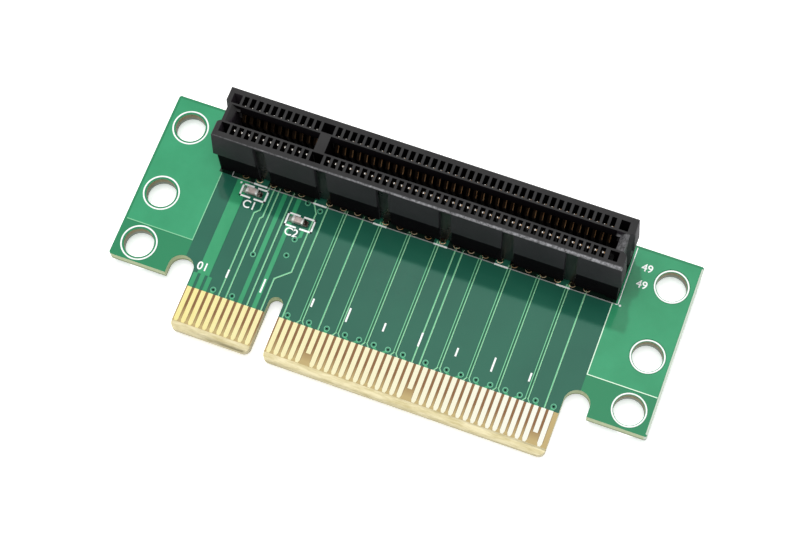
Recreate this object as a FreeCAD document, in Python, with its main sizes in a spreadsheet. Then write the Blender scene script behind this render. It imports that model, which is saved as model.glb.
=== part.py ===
import FreeCAD, Part
import Sketcher
import os

# An eight lane riser card.
# A green circuit board carries a card edge along its front and a card slot on its face.
# Two wings with three holes each hold the card in its bracket.
# X runs along the slot, from contact 1 to contact 49. Y runs from the card edge to the back edge.
# Z is up, and the card lies flat on its solder side. The origin is under the middle of the board.

V = FreeCAD.Vector
doc = FreeCAD.newDocument("riser_card")
sheet = doc.addObject("Spreadsheet::Sheet", "sizes")

DRIVING_SIZES = [
    # circuit board
    ("board_depth", 31.3, "back edge to card edge"),
    ("wing_length", 11.525, "wing, from the side of the card edge to its tip"),
    ("wing_depth", 24.5, "back edge to front edge of a wing"),
    ("board_thickness", 1.6, "glass epoxy board with its copper and mask"),
    ("wing_corner", 0.35, "radius of a wing corner"),
    ("tongue_corner", 0.9, "radius of a card edge corner"),
    ("relief_width", 3.45, "round bottomed relief beside the card edge"),
    ("relief_depth", 3.05, "relief measured from the front edge of a wing"),
    ("key_width", 1.95, "key notch in the card edge"),
    ("key_depth", 8.55, "key notch measured from the card edge"),
    ("bevel_length", 1.05, "bevel of the card edge along the board"),
    ("bevel_drop", 0.38, "bevel of the card edge through the board"),
    ("hole_diameter", 4.05, "mounting hole"),
    ("hole_from_tip", 3.25, "column of holes to the tip of its wing"),
    ("hole_from_back", 4.05, "first row of holes to the back edge"),
    ("hole_from_front", 2.67, "third row of holes to the front edge of a wing"),
    ("hole_steps_back", 4, "share of the rows' spacing between first and second row"),
    ("hole_steps_front", 3, "share of the rows' spacing between second and third row"),
    # contacts and card edge
    ("contact_pitch", 1.0, "between two contacts"),
    ("contacts_before_key", 11, "contacts on the short side of the key"),
    ("contacts_after_key", 38, "contacts on the long side of the key"),
    ("key_to_contact", 1.5, "middle of the key to the contact beside it"),
    ("side_to_first", 0.475, "side of the card edge to the first contact"),
    ("last_to_side", 0.975, "last contact to the other side of the card edge"),
    ("finger_width", 0.72, "gold finger"),
    ("finger_length", 5.0, "gold finger with its narrow end"),
    ("finger_tip_width", 0.36, "narrow end of a finger"),
    ("finger_tip_length", 0.55, "length of the narrowing end"),
    ("finger_from_edge", 1.05, "end of a finger to the card edge"),
    ("short_finger_cut", 1.6, "how much a short finger ends earlier"),
    ("finger_plating", 0.05, "height of a finger above the board"),
    # slot
    ("slot_from_back", 4.75, "middle of the slot to the back edge"),
    ("slot_height", 11.25, "top of the slot above the board"),
    ("slot_past_side", 2.425, "slot past each side of the card edge"),
    ("slot_width", 7.6, "slot at the lower edge of its panels"),
    ("slot_end_lean", 0.35, "how far each end leans in towards the top"),
    ("slot_side_lean", 0.15, "how far each side leans in towards the top"),
    ("slot_step", 0.35, "how far the panels stand past the lower part"),
    ("ledge_height", 5.4, "lower edge of the panels above the board"),
    ("standoff", 0.5, "slot floor above the board"),
    ("foot_length", 1.4, "each foot along the slot"),
    ("rim_height", 0.45, "rim that closes the bays at the top"),
    ("bay_width", 1.65, "recessed bay between two panels"),
    ("bay_depth", 0.7, "recess of a bay behind its panels"),
    ("bay_from_end", 6.875, "middle of the first bay to the end of the slot"),
    ("bay_count", 6, "bays on each side"),
    ("top_chamfer", 0.15, "outer edge of the top"),
    ("end_recess_depth", 0.55, "recess in each end of the slot"),
    ("end_recess_width", 2.5, "floor of the end recess"),
    ("end_recess_mouth", 3.3, "mouth of the end recess"),
    ("groove_width", 1.75, "groove for the card"),
    ("groove_mouth", 2.5, "lead in of the groove"),
    ("lead_in_depth", 0.9, "depth of the lead in"),
    ("groove_depth", 8.0, "groove for the card"),
    ("groove_end_gap", 0.95, "outermost contact to the end of the groove"),
    ("groove_far_gap", 1.4, "last contact to the far end of the groove"),
    ("groove_end_slope", 0.6, "lead in at both ends of the groove"),
    ("web_width", 1.45, "web that fits the key notch"),
    ("cavity_width", 0.64, "cavity of a contact along the slot"),
    ("cavity_near", 1.5, "middle of the slot to the near wall of a cavity"),
    ("cavity_wall", 0.95, "side of the slot to the far wall of a cavity"),
    ("window_top_gap", 1.1, "top of the slot to the underside of the rails"),
    ("key_pocket_width", 1.6, "blind pocket beside the web"),
    ("end_pocket_width", 1.2, "blind pocket at each end"),
    ("end_pocket_near", 1.25, "first contact to the blind pocket"),
    ("end_pocket_far", 1.5, "last contact to the blind pocket"),
    ("pocket_depth", 4.0, "blind pockets"),
    ("peg_diameter", 2.25, "moulded peg"),
    ("peg_from_last", 1.65, "last contact to the second peg"),
    ("peg_length", 2.2, "peg below the underside of the slot seat"),
    ("peg_clearance", 0.05, "gap round a peg in its hole"),
    # contacts in the slot
    ("strip_thickness", 0.2, "contact strip"),
    ("strip_width", 0.46, "contact strip along the slot"),
    ("tail_outer", 3.25, "outer row of tails to the middle of the slot"),
    ("tail_inner", 1.25, "inner row of tails to the middle of the slot"),
    ("tail_hole_gap", 0.12, "gap round a tail in its hole"),
    ("jog_height", 0.24, "middle of the sideways run above the board"),
    ("beam_from_wall", 0.4, "foot of the spring beam to the far wall of its cavity"),
    ("beam_nose", 0.72, "rounded nose of the beam to the middle of the slot"),
    ("nose_depth", 3.1, "nose below the top of the slot"),
    ("tip_from_rail", 0.35, "tip of the beam to the near wall of its cavity"),
    ("tip_depth", 0.75, "tip below the top of the slot"),
    ("solder_base", 1.1, "solder joint where it meets the board"),
    ("solder_tip", 0.46, "end of a solder joint"),
    ("solder_height", 1.25, "solder joint below the board"),
    # chip capacitors
    ("chip_length", 1.6, "chip capacitor"),
    ("chip_width", 0.82, "chip capacitor"),
    ("chip_height", 0.8, "chip capacitor"),
    ("chip_end", 0.32, "plated end of a chip"),
    ("chip_end_lip", 0.02, "plating of an end past the ceramic body"),
    ("land_length", 0.62, "solder in front of a chip end"),
    ("land_height", 0.05, "solder under a chip"),
    ("fillet_height", 0.5, "solder up the end of a chip"),
    ("near_chip_from_key", 8.75, "first capacitor, left of the key"),
    ("near_chip_from_slot", 5.3, "first capacitor, in front of the slot"),
    ("far_chip_from_key", 1.45, "second capacitor, left of the key"),
    ("far_chip_from_slot", 7.17, "second capacitor, in front of the slot"),
    # copper under the mask
    ("copper_height", 0.06, "copper and mask above the bare board"),
    ("pour_margin", 0.35, "copper area to the board edge"),
    ("pour_from_side", 1.675, "copper area to the side of the card edge"),
    ("pour_from_front", 5.35, "copper area to the front edge of a wing"),
    ("pour_hole_gap", 0.45, "bare ring round a mounting hole"),
    ("pour_foot_gap", 0.1, "bare board round a foot of the slot"),
    ("trace_width", 0.2, "signal trace"),
    ("pair_gap", 0.3, "between the two traces of a pair"),
    ("trace_from_slot", 3.5, "traces end this far in front of the middle of the slot"),
    ("neck_length", 0.5, "where a pair spreads to its fingers"),
    ("wide_strip_width", 1.7, "first supply strip"),
    ("narrow_strip_width", 0.62, "other supply strips"),
    ("fan_length", 2.1, "supply strip split in three at the fingers"),
]

for row, (alias, number, note) in enumerate(DRIVING_SIZES, start=1):
    sheet.set("A%d" % row, note)
    sheet.set("B%d" % row, str(number))
    sheet.setAlias("B%d" % row, alias)
doc.recompute()


def size(alias):
    return float(sheet.get(alias))


# Derived places that several pieces share, as words bound to the sheet.
# Each is a formula, so that it follows its sizes.
def cell(alias):
    return "sizes." + alias


BACK = "(%s / 2)" % cell("board_depth")
SLOT_Y = "(%s - %s)" % (BACK, cell("slot_from_back"))
BOARD_LOW = cell("solder_height")
BOARD_TOP = "(%s + %s)" % (BOARD_LOW, cell("board_thickness"))
WING_FRONT = "(%s - %s)" % (BACK, cell("wing_depth"))
BEFORE_KEY = "((%s - 1) * %s + %s)" % (
    cell("contacts_before_key"), cell("contact_pitch"), cell("key_to_contact"))
AFTER_KEY = "((%s - 1) * %s + %s)" % (
    cell("contacts_after_key"), cell("contact_pitch"), cell("key_to_contact"))
# The contacts set the width of the card edge, and the wings and the slot go out from there.
HALF_TONGUE = "((%s + %s + %s + %s) / 2)" % (
    cell("side_to_first"), BEFORE_KEY, AFTER_KEY, cell("last_to_side"))
HALF_LENGTH = "(%s + %s)" % (HALF_TONGUE, cell("wing_length"))
KEY_X = "(%s + %s - %s)" % (cell("side_to_first"), BEFORE_KEY, HALF_TONGUE)
FIRST = "(%s - %s)" % (KEY_X, BEFORE_KEY)
LAST = "(%s + %s)" % (KEY_X, AFTER_KEY)

back_edge = size("board_depth") / 2
card_edge = -size("board_depth") / 2
slot_y = back_edge - size("slot_from_back")
board_low = size("solder_height")
board_top = board_low + size("board_thickness")
slot_top = board_top + size("slot_height")
pitch = size("contact_pitch")
before_key = int(size("contacts_before_key"))
after_key = int(size("contacts_after_key"))
short_side = size("side_to_first") + (before_key - 1) * pitch + size("key_to_contact")
long_side = size("key_to_contact") + (after_key - 1) * pitch + size("last_to_side")
half_tongue = (short_side + long_side) / 2
half_length = half_tongue + size("wing_length")
key_x = short_side - half_tongue


def contact_x(pin):
    """Place along the slot of a contact, counted from 1."""
    if pin <= before_key:
        return key_x - size("key_to_contact") - (before_key - pin) * pitch
    return key_x + size("key_to_contact") + (pin - before_key - 1) * pitch


ALL_PINS = range(1, before_key + after_key + 1)


def past_key(counts):
    """Contacts on the long side, counted from the key."""
    return [before_key + count for count in counts if count <= after_key]


# Sketch and feature helpers

def plane_of(body, role):
    return next(part for part in body.Origin.OriginFeatures if part.Role == role)


def new_body(label):
    body = doc.addObject("PartDesign::Body", label)
    body.Label = label
    return body


def new_sketch(body, label, role, height="0"):
    """Sketch on an origin plane, lifted along the plane's normal by a formula."""
    sketch = body.newObject("Sketcher::SketchObject", label)
    sketch.AttachmentSupport = [(plane_of(body, role), "")]
    sketch.MapMode = "FlatFace"
    sketch.setExpression(".AttachmentOffset.Base.z", height)
    return sketch


def pin_point(sketch, line, end, across, up):
    """Fix one end of a line at two formulas from the sketch's origin."""
    for kind, formula in (("DistanceX", across), ("DistanceY", up)):
        constraint = sketch.addConstraint(Sketcher.Constraint(kind, -1, 1, line, end, 0.0))
        sketch.setExpression("Constraints[%d]" % constraint, formula)


def add_outline(sketch, corners):
    """Closed outline through corners, each one a pair of formulas."""
    count = len(corners)
    start = sketch.GeometryCount
    guess = [V(sketch.evalExpression(x), sketch.evalExpression(y), 0) for x, y in corners]
    for index in range(count):
        sketch.addGeometry(Part.LineSegment(guess[index], guess[(index + 1) % count]), False)
    for index in range(count):
        following = start + (index + 1) % count
        sketch.addConstraint(Sketcher.Constraint("Coincident", start + index, 2, following, 1))
    for index, (x, y) in enumerate(corners):
        pin_point(sketch, start + index, 1, x, y)


def add_rectangle(sketch, x_low, y_low, x_high, y_high):
    add_outline(sketch, [(x_low, y_low), (x_high, y_low), (x_high, y_high), (x_low, y_high)])


def add_circle(sketch, x, y, diameter):
    centre = V(sketch.evalExpression(x), sketch.evalExpression(y), 0)
    radius = sketch.evalExpression(diameter) / 2
    index = sketch.addGeometry(Part.Circle(centre, V(0, 0, 1), radius), False)
    pin_point(sketch, index, 3, x, y)
    constraint = sketch.addConstraint(Sketcher.Constraint("Diameter", index, 2 * radius))
    sketch.setExpression("Constraints[%d]" % constraint, diameter)


def add_pad(body, label, sketch, length):
    pad = body.newObject("PartDesign::Pad", label)
    pad.Profile = sketch
    pad.setExpression("Length", length)
    return pad


def add_pocket(body, label, sketch, length=None, upward=False, both_ways=False):
    """Cut a sketch out of the body, through all of it where no length is given."""
    pocket = body.newObject("PartDesign::Pocket", label)
    pocket.Profile = sketch
    pocket.Reversed = upward
    if both_ways:
        pocket.SideType = "Symmetric"
    if length is None:
        pocket.Type = "ThroughAll"
    else:
        pocket.Type = "Length"
        pocket.setExpression("Length", length)
    return pocket


# Circuit board: two wings, a tongue for the card edge, reliefs, key notch, holes and bevels

board = new_body("board_blank")

wings = new_sketch(board, "wings_outline", "XY_Plane", BOARD_LOW)
add_rectangle(wings, "-" + HALF_LENGTH, WING_FRONT, HALF_LENGTH, BACK)
add_pad(board, "wings", wings, cell("board_thickness"))

tongue = new_sketch(board, "tongue_outline", "XY_Plane", BOARD_LOW)
TONGUE_ROOT = "%s + %s" % (WING_FRONT, cell("relief_depth"))
add_rectangle(tongue, "-" + HALF_TONGUE, "-" + BACK, HALF_TONGUE, TONGUE_ROOT)
add_pad(board, "tongue", tongue, cell("board_thickness"))

RELIEF_X = "(%s + %s / 2)" % (HALF_TONGUE, cell("relief_width"))
RELIEF_Y = "%s + %s - %s / 2" % (WING_FRONT, cell("relief_depth"), cell("relief_width"))
for side, sign in (("left", "-"), ("right", "")):
    cut = new_sketch(board, "relief_%s_sides" % side, "XY_Plane", BOARD_TOP)
    edges = [sign + "(%s - %s / 2)" % (RELIEF_X, cell("relief_width")),
             sign + "(%s + %s / 2)" % (RELIEF_X, cell("relief_width"))]
    if sign:
        edges.reverse()
    add_rectangle(cut, edges[0], "-" + BACK, edges[1], RELIEF_Y)
    add_pocket(board, "relief_%s_cut" % side, cut)
    end = new_sketch(board, "relief_%s_end" % side, "XY_Plane", BOARD_TOP)
    add_circle(end, sign + RELIEF_X, RELIEF_Y, cell("relief_width"))
    add_pocket(board, "relief_%s_round" % side, end)

KEY_LOW = "%s - %s / 2" % (KEY_X, cell("key_width"))
KEY_HIGH = "%s + %s / 2" % (KEY_X, cell("key_width"))
KEY_END = "-%s + %s - %s / 2" % (BACK, cell("key_depth"), cell("key_width"))
key_cut = new_sketch(board, "key_sides", "XY_Plane", BOARD_TOP)
add_rectangle(key_cut, KEY_LOW, "-" + BACK, KEY_HIGH, KEY_END)
add_pocket(board, "key_cut", key_cut)
key_end = new_sketch(board, "key_end", "XY_Plane", BOARD_TOP)
add_circle(key_end, KEY_X, KEY_END, cell("key_width"))
add_pocket(board, "key_round", key_end)

HOLE_X = "(%s - %s)" % (HALF_LENGTH, cell("hole_from_tip"))
FIRST_ROW = "(%s - %s)" % (BACK, cell("hole_from_back"))
LAST_ROW = "(%s + %s)" % (WING_FRONT, cell("hole_from_front"))
MIDDLE_ROW = "((%s * %s + %s * %s) / (%s + %s))" % (
    FIRST_ROW, cell("hole_steps_front"), LAST_ROW, cell("hole_steps_back"),
    cell("hole_steps_back"), cell("hole_steps_front"))
HOLE_ROWS = [FIRST_ROW, MIDDLE_ROW, LAST_ROW]
mounting = new_sketch(board, "mounting_holes", "XY_Plane", BOARD_TOP)
for sign in ("-", ""):
    for row_y in HOLE_ROWS:
        add_circle(mounting, sign + HOLE_X, row_y, cell("hole_diameter"))
add_pocket(board, "mounting_hole_cut", mounting)

PEG_FAR_X = "(%s + %s)" % (LAST, cell("peg_from_last"))
PEG_HOLE = "%s + 2 * %s" % (cell("peg_diameter"), cell("peg_clearance"))
peg_holes = new_sketch(board, "peg_holes", "XY_Plane", BOARD_TOP)
add_circle(peg_holes, KEY_X, SLOT_Y, PEG_HOLE)
add_circle(peg_holes, PEG_FAR_X, SLOT_Y, PEG_HOLE)
add_pocket(board, "peg_hole_cut", peg_holes)

# The card edge is bevelled on both faces, by a thin wedge cut along the whole tongue.
for face, level, inward in (("top", BOARD_TOP, "-"), ("under", BOARD_LOW, "+")):
    wedge = new_sketch(board, "bevel_%s_outline" % face, "YZ_Plane")
    add_outline(wedge, [("-" + BACK, level),
                        ("-" + BACK, "%s %s %s" % (level, inward, cell("bevel_drop"))),
                        ("-%s + %s" % (BACK, cell("bevel_length")), level)])
    add_pocket(board, "bevel_%s" % face, wedge, both_ways=True)
doc.recompute()


def upright_edges(shape, places, reach=0.6):
    """Names of the upright edges that stand within reach of the given places."""
    names = []
    for index, edge in enumerate(shape.Edges, start=1):
        ends = [vertex.Point for vertex in edge.Vertexes]
        if len(ends) != 2 or abs(ends[0].z - ends[1].z) < 0.5:
            continue
        if (ends[0].sub(ends[1])).cross(V(0, 0, 1)).Length > 1e-6:
            continue
        for x, y in places:
            if abs(ends[0].x - x) < reach and abs(ends[0].y - y) < reach:
                names.append("Edge%d" % index)
                break
    return names


def round_edges(body, label, places, radius):
    tip = body.Tip
    names = upright_edges(tip.Shape, places)
    fillet = body.newObject("PartDesign::Fillet", label)
    fillet.Base = (tip, names)
    fillet.setExpression("Radius", radius)
    doc.recompute()
    return fillet


wing_front = back_edge - size("wing_depth")
key_sides = [key_x - size("key_width") / 2, key_x + size("key_width") / 2]
round_edges(board, "tongue_corners",
            [(x, card_edge) for x in [-half_tongue, half_tongue] + key_sides], cell("tongue_corner"))
round_edges(board, "wing_corners",
            [(x, y) for x in (-half_length, half_length) for y in (wing_front, back_edge)],
            cell("wing_corner"))


# Rows of tails: near row of the slot is the component side of the card edge.
# Every second tail steps outward, so the four rows are staggered.

def tail_place(side, row):
    """Place of a row of tails: side is -1 for the near row and 1 for the far row."""
    return slot_y + side * size("tail_%s" % row)


def pins_of(side, row):
    even_row = "outer" if side < 0 else "inner"
    wanted = 0 if row == even_row else 1
    return [pin for pin in ALL_PINS if pin % 2 == wanted]


SIDES = (("front", -1), ("back", 1))
ROWS = ("outer", "inner")


def tail_hole(x, y):
    length = size("strip_width") + 2 * size("tail_hole_gap")
    width = size("strip_thickness") + 2 * size("tail_hole_gap")
    corner = V(x - length / 2, y - width / 2, board_low - 1)
    return Part.makeBox(length, width, size("board_thickness") + 2, corner)


tail_tools = doc.addObject("Part::Feature", "tail_hole_tools")
tail_tools.Shape = Part.makeCompound([
    tail_hole(contact_x(pin), tail_place(side, row))
    for name, side in SIDES for row in ROWS for pin in pins_of(side, row)])

circuit_board = doc.addObject("Part::Cut", "circuit_board")
circuit_board.Base = board
circuit_board.Tool = tail_tools


# Gold fingers: a full width part, then a narrowing end towards the card edge

SHORT_FRONT = past_key((6, 20, 37))
SHORT_BACK = [1]


def finger(pin, short, narrowed, level, height):
    x = contact_x(pin)
    low = card_edge + size("finger_from_edge")
    high = low + size("finger_length")
    if short:
        low += size("short_finger_cut")
    shoulder = low + size("finger_tip_length")
    half = size("finger_width") / 2
    half_tip = size("finger_tip_width") / 2
    outline = [(x - half, high), (x - half, shoulder), (x - half_tip, low),
               (x + half_tip, low), (x + half, shoulder), (x + half, high)]
    if short or not narrowed:
        outline = [(x - half, high), (x - half, low), (x + half, low), (x + half, high)]
    points = [V(px, py, level) for px, py in outline]
    face = Part.Face(Part.makePolygon(points + points[:1]))
    return face.extrude(V(0, 0, height))


def finger_row(label, short_pins, narrowed, level, height):
    node = doc.addObject("Part::Feature", label)
    node.Shape = Part.makeCompound([
        finger(pin, pin in short_pins, narrowed, level, height) for pin in ALL_PINS])
    return node


plating = size("finger_plating")
fingers_front = finger_row("edge_fingers_front", SHORT_FRONT, True, board_top, plating)
fingers_back = finger_row("edge_fingers_back", SHORT_BACK, False, board_low - plating, plating)


# Slot housing: lower body, drafted upper body with panels and bays, groove, cavities and pegs

housing = new_body("slot_housing")
FLOOR = "(%s + %s)" % (BOARD_TOP, cell("standoff"))
LEDGE = "(%s + %s)" % (BOARD_TOP, cell("ledge_height"))
TOP = "(%s + %s)" % (BOARD_TOP, cell("slot_height"))
SLOT_HALF = "(%s / 2)" % cell("slot_width")
SLOT_END = "(%s + %s)" % (HALF_TONGUE, cell("slot_past_side"))
BASE_HALF = "(%s - %s)" % (SLOT_HALF, cell("slot_step"))
BASE_END = "(%s - %s)" % (SLOT_END, cell("slot_step"))
TOP_HALF = "(%s - %s)" % (SLOT_HALF, cell("slot_side_lean"))
TOP_END = "(%s - %s)" % (SLOT_END, cell("slot_end_lean"))


def slot_rectangle(sketch, half_length, half_width):
    add_rectangle(sketch, "-" + half_length, "%s - %s" % (SLOT_Y, half_width),
                  half_length, "%s + %s" % (SLOT_Y, half_width))


lower = new_sketch(housing, "lower_outline", "XY_Plane", FLOOR)
slot_rectangle(lower, BASE_END, BASE_HALF)
add_pad(housing, "lower_body", lower, "%s - %s" % (cell("ledge_height"), cell("standoff")))


def add_drafted_block(label, bottom, height, low_end, low_side, high_end, high_side):
    """Block whose sides lean, given its level, height and the half sizes of its two faces."""
    block = housing.newObject("PartDesign::AdditiveWedge", label)
    block.Placement = FreeCAD.Placement(V(0, 0, 0), FreeCAD.Rotation(V(1, 0, 0), 90))
    block.setExpression(".Placement.Base.y", SLOT_Y)
    block.setExpression(".Placement.Base.z", bottom)
    block.Ymin = 0
    block.setExpression("Ymax", height)
    limits = (("Xmin", "-", low_end), ("Xmax", "", low_end),
              ("Zmin", "-", low_side), ("Zmax", "", low_side),
              ("X2min", "-", high_end), ("X2max", "", high_end),
              ("Z2min", "-", high_side), ("Z2max", "", high_side))
    for limit, sign, formula in limits:
        block.setExpression(limit, sign + formula)


SHOULDER = "(%s - %s)" % (TOP, cell("top_chamfer"))
add_drafted_block("panels", LEDGE, "%s - %s" % (SHOULDER, LEDGE), SLOT_END, SLOT_HALF, TOP_END, TOP_HALF)
add_drafted_block("rim", SHOULDER, cell("top_chamfer"), TOP_END, TOP_HALF,
                  "(%s - %s)" % (TOP_END, cell("top_chamfer")),
                  "(%s - %s)" % (TOP_HALF, cell("top_chamfer")))
doc.recompute()

# Each end is recessed between a near and a far block.
for side, sign in (("left", "-"), ("right", "")):
    recess = new_sketch(housing, "end_recess_%s" % side, "XY_Plane", TOP)
    deep = sign + "(%s - %s)" % (TOP_END, cell("end_recess_depth"))
    face = sign + TOP_END
    past = sign + "(%s + 1)" % SLOT_END
    narrow = cell("end_recess_width") + " / 2"
    wide = cell("end_recess_mouth") + " / 2"
    add_outline(recess, [(deep, "%s - %s" % (SLOT_Y, narrow)), (face, "%s - %s" % (SLOT_Y, wide)),
                         (past, "%s - %s" % (SLOT_Y, wide)), (past, "%s + %s" % (SLOT_Y, wide)),
                         (face, "%s + %s" % (SLOT_Y, wide)), (deep, "%s + %s" % (SLOT_Y, narrow))])
    add_pocket(housing, "end_recess_%s_cut" % side, recess)

# Bays are cut upward from the slot floor and stop under the rim.
bays = new_sketch(housing, "bay_outlines", "XY_Plane", FLOOR)
BAY_FLOOR = "(%s - %s)" % (SLOT_HALF, cell("bay_depth"))
BAY_PITCH = "(2 * (%s - %s) / (%s - 1))" % (SLOT_END, cell("bay_from_end"), cell("bay_count"))
for bay in range(int(size("bay_count"))):
    middle = "(%d - (%s - 1) / 2) * %s" % (bay, cell("bay_count"), BAY_PITCH)
    bay_low = "%s - %s / 2" % (middle, cell("bay_width"))
    bay_high = "%s + %s / 2" % (middle, cell("bay_width"))
    OUTSIDE = "(%s + 1)" % SLOT_HALF
    add_rectangle(bays, bay_low, "%s - %s" % (SLOT_Y, OUTSIDE), bay_high, "%s - %s" % (SLOT_Y, BAY_FLOOR))
    add_rectangle(bays, bay_low, "%s + %s" % (SLOT_Y, BAY_FLOOR), bay_high, "%s + %s" % (SLOT_Y, OUTSIDE))
BAY_HEIGHT = "%s - %s - %s" % (cell("slot_height"), cell("standoff"), cell("rim_height"))
add_pocket(housing, "bays", bays, BAY_HEIGHT, upward=True)

# The groove has a wider lead in and two guiding rails, and a web stands across it at the key.
# Below the rails it is as wide as the contacts need.
WEB = cell("web_width") + " / 2"
GROOVES = (("short", "%s - %s" % (FIRST, cell("groove_end_gap")), "%s - %s" % (KEY_X, WEB)),
           ("long", "%s + %s" % (KEY_X, WEB), "%s + %s" % (LAST, cell("groove_far_gap"))))
for name, low, high in GROOVES:
    profile = new_sketch(housing, "groove_%s_profile" % name, "YZ_Plane", high)
    half = cell("groove_width") + " / 2"
    mouth = cell("groove_mouth") + " / 2"
    step = "%s - %s" % (TOP, cell("lead_in_depth"))
    under = "%s - %s" % (TOP, cell("window_top_gap"))
    bottom = "%s - %s" % (TOP, cell("groove_depth"))
    open_half = cell("cavity_near")
    near_side = [(mouth, TOP), (half, step), (half, under), (open_half, under), (open_half, bottom)]
    corners = [("%s - %s" % (SLOT_Y, out), level) for out, level in near_side]
    corners += [("%s + %s" % (SLOT_Y, out), level) for out, level in reversed(near_side)]
    add_outline(profile, corners)
    add_pocket(housing, "groove_%s" % name, profile, "(%s) - (%s)" % (high, low))

# Both ends of the groove slope down to the lead in's depth.
slopes = new_sketch(housing, "groove_end_slopes", "XZ_Plane", "-" + SLOT_Y)
for end, sign in ((GROOVES[0][1], "-"), (GROOVES[1][2], "+")):
    inside = "%s %s (-%s)" % (end, sign, cell("groove_end_slope"))
    past_end = "%s %s %s" % (end, sign, cell("groove_end_slope"))
    add_outline(slopes, [(inside, TOP), (inside, "%s - %s" % (TOP, cell("lead_in_depth"))),
                         (end, "%s - %s" % (TOP, cell("lead_in_depth"))), (past_end, TOP)])
add_pocket(housing, "groove_end_cuts", slopes, cell("groove_mouth"), both_ways=True)

# A cavity holds one contact. It runs right through, and opens into the groove under the rail.
CAVITY_FAR = "(%s - %s)" % (SLOT_HALF, cell("cavity_wall"))
GROUPS = (("before_key", FIRST, "contacts_before_key"),
          ("after_key", "(%s + %s)" % (KEY_X, cell("key_to_contact")), "contacts_after_key"))
for name, start, count in GROUPS:
    profile = new_sketch(housing, "cavity_%s_profile" % name, "YZ_Plane", start)
    for sign in ("-", "+"):
        near = "%s %s %s" % (SLOT_Y, sign, cell("cavity_near"))
        far = "%s %s %s" % (SLOT_Y, sign, CAVITY_FAR)
        add_outline(profile, [(far, TOP), (near, TOP), (near, FLOOR), (far, FLOOR)])
    cavity = add_pocket(housing, "cavity_%s" % name, profile, cell("cavity_width"), both_ways=True)
    row_of_cavities = housing.newObject("PartDesign::LinearPattern", "cavities_%s" % name)
    row_of_cavities.Originals = [cavity]
    row_of_cavities.Direction = (plane_of(housing, "X_Axis"), [""])
    row_of_cavities.setExpression("Length", "(%s - 1) * %s" % (cell(count), cell("contact_pitch")))
    row_of_cavities.setExpression("Occurrences", cell(count))
    housing.Tip = row_of_cavities
    doc.recompute()

# Blind pockets thin the walls beside the web and at both ends of the rows.
pockets = new_sketch(housing, "blind_pockets", "XY_Plane", TOP)
POCKETS = ((KEY_X, "key_pocket_width"),
           ("(%s - %s)" % (FIRST, cell("end_pocket_near")), "end_pocket_width"),
           ("(%s + %s)" % (LAST, cell("end_pocket_far")), "end_pocket_width"))
for middle, width in POCKETS:
    pocket_low = "%s - %s / 2" % (middle, cell(width))
    pocket_high = "%s + %s / 2" % (middle, cell(width))
    near = cell("cavity_near")
    far = CAVITY_FAR
    add_rectangle(pockets, pocket_low, "%s - %s" % (SLOT_Y, far), pocket_high, "%s - %s" % (SLOT_Y, near))
    add_rectangle(pockets, pocket_low, "%s + %s" % (SLOT_Y, near), pocket_high, "%s + %s" % (SLOT_Y, far))
add_pocket(housing, "blind_pocket_cut", pockets, cell("pocket_depth"))

# Four feet carry the slot on the board, and two pegs place it.
feet = new_sketch(housing, "feet_outlines", "XY_Plane", BOARD_TOP)
FOOT_IN = "(%s - %s)" % (BASE_END, cell("foot_length"))
RECESS_HALF = "(%s / 2)" % cell("end_recess_mouth")
for sign in ("-", ""):
    ends = [sign + BASE_END, sign + FOOT_IN]
    if not sign:
        ends.reverse()
    add_rectangle(feet, ends[0], "%s - %s" % (SLOT_Y, BASE_HALF), ends[1], "%s - %s" % (SLOT_Y, RECESS_HALF))
    add_rectangle(feet, ends[0], "%s + %s" % (SLOT_Y, RECESS_HALF), ends[1], "%s + %s" % (SLOT_Y, BASE_HALF))
add_pad(housing, "feet", feet, cell("standoff"))

pegs = new_sketch(housing, "peg_outlines", "XY_Plane", "%s - %s" % (BOARD_TOP, cell("peg_length")))
add_circle(pegs, KEY_X, SLOT_Y, cell("peg_diameter"))
add_circle(pegs, PEG_FAR_X, SLOT_Y, cell("peg_diameter"))
add_pad(housing, "pegs", pegs, "%s + %s" % (cell("peg_length"), cell("standoff")))
doc.recompute()


# Contacts: one bent strip each, from the board's underside to the tip under the rim

def strip_outline(path, thickness):
    """Both sides of a strip that follows a path, with mitred corners."""
    left = []
    right = []
    for index, point in enumerate(path):
        directions = []
        if index > 0:
            directions.append((point - path[index - 1]).normalize())
        if index < len(path) - 1:
            directions.append((path[index + 1] - point).normalize())
        normals = [V(0, -step.z, step.y) for step in directions]
        mitre = normals[0] if len(normals) == 1 else (normals[0] + normals[1]).normalize()
        reach = thickness / 2 / mitre.dot(normals[0])
        left.append(point + mitre * reach)
        right.append(point - mitre * reach)
    return left + right[::-1]


def contact(pin, side, row):
    """The strip runs up from the board, sideways under the slot floor, up its cavity and over the nose."""
    x = contact_x(pin) - size("strip_width") / 2
    beam_root = size("slot_width") / 2 - size("cavity_wall") - size("beam_from_wall")
    tip_out = size("cavity_near") + size("tip_from_rail")
    route = [(size("tail_%s" % row), board_low),
             (size("tail_%s" % row), board_top + size("jog_height")),
             (beam_root, board_top + size("jog_height")),
             (size("beam_nose"), slot_top - size("nose_depth")),
             (tip_out, slot_top - size("tip_depth"))]
    path = [V(x, slot_y + side * across, up) for across, up in route]
    points = strip_outline(path, size("strip_thickness"))
    face = Part.Face(Part.makePolygon(points + points[:1]))
    return face.extrude(V(size("strip_width"), 0, 0))


def solder_joint(pin, side, row):
    """A pyramid of solder that ends in the tail's tip, seated on the underside of the board."""
    tip = size("solder_tip") / 2
    base = size("solder_base") / 2
    pyramid = Part.makeWedge(-tip, 0, -tip, -base, -base, tip, size("solder_height"), tip, base, base)
    # The pyramid is made along Y and stands up along Z.
    pyramid.rotate(V(0, 0, 0), V(1, 0, 0), 90)
    pyramid.translate(V(contact_x(pin), tail_place(side, row), board_low - size("solder_height")))
    return pyramid


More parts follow.
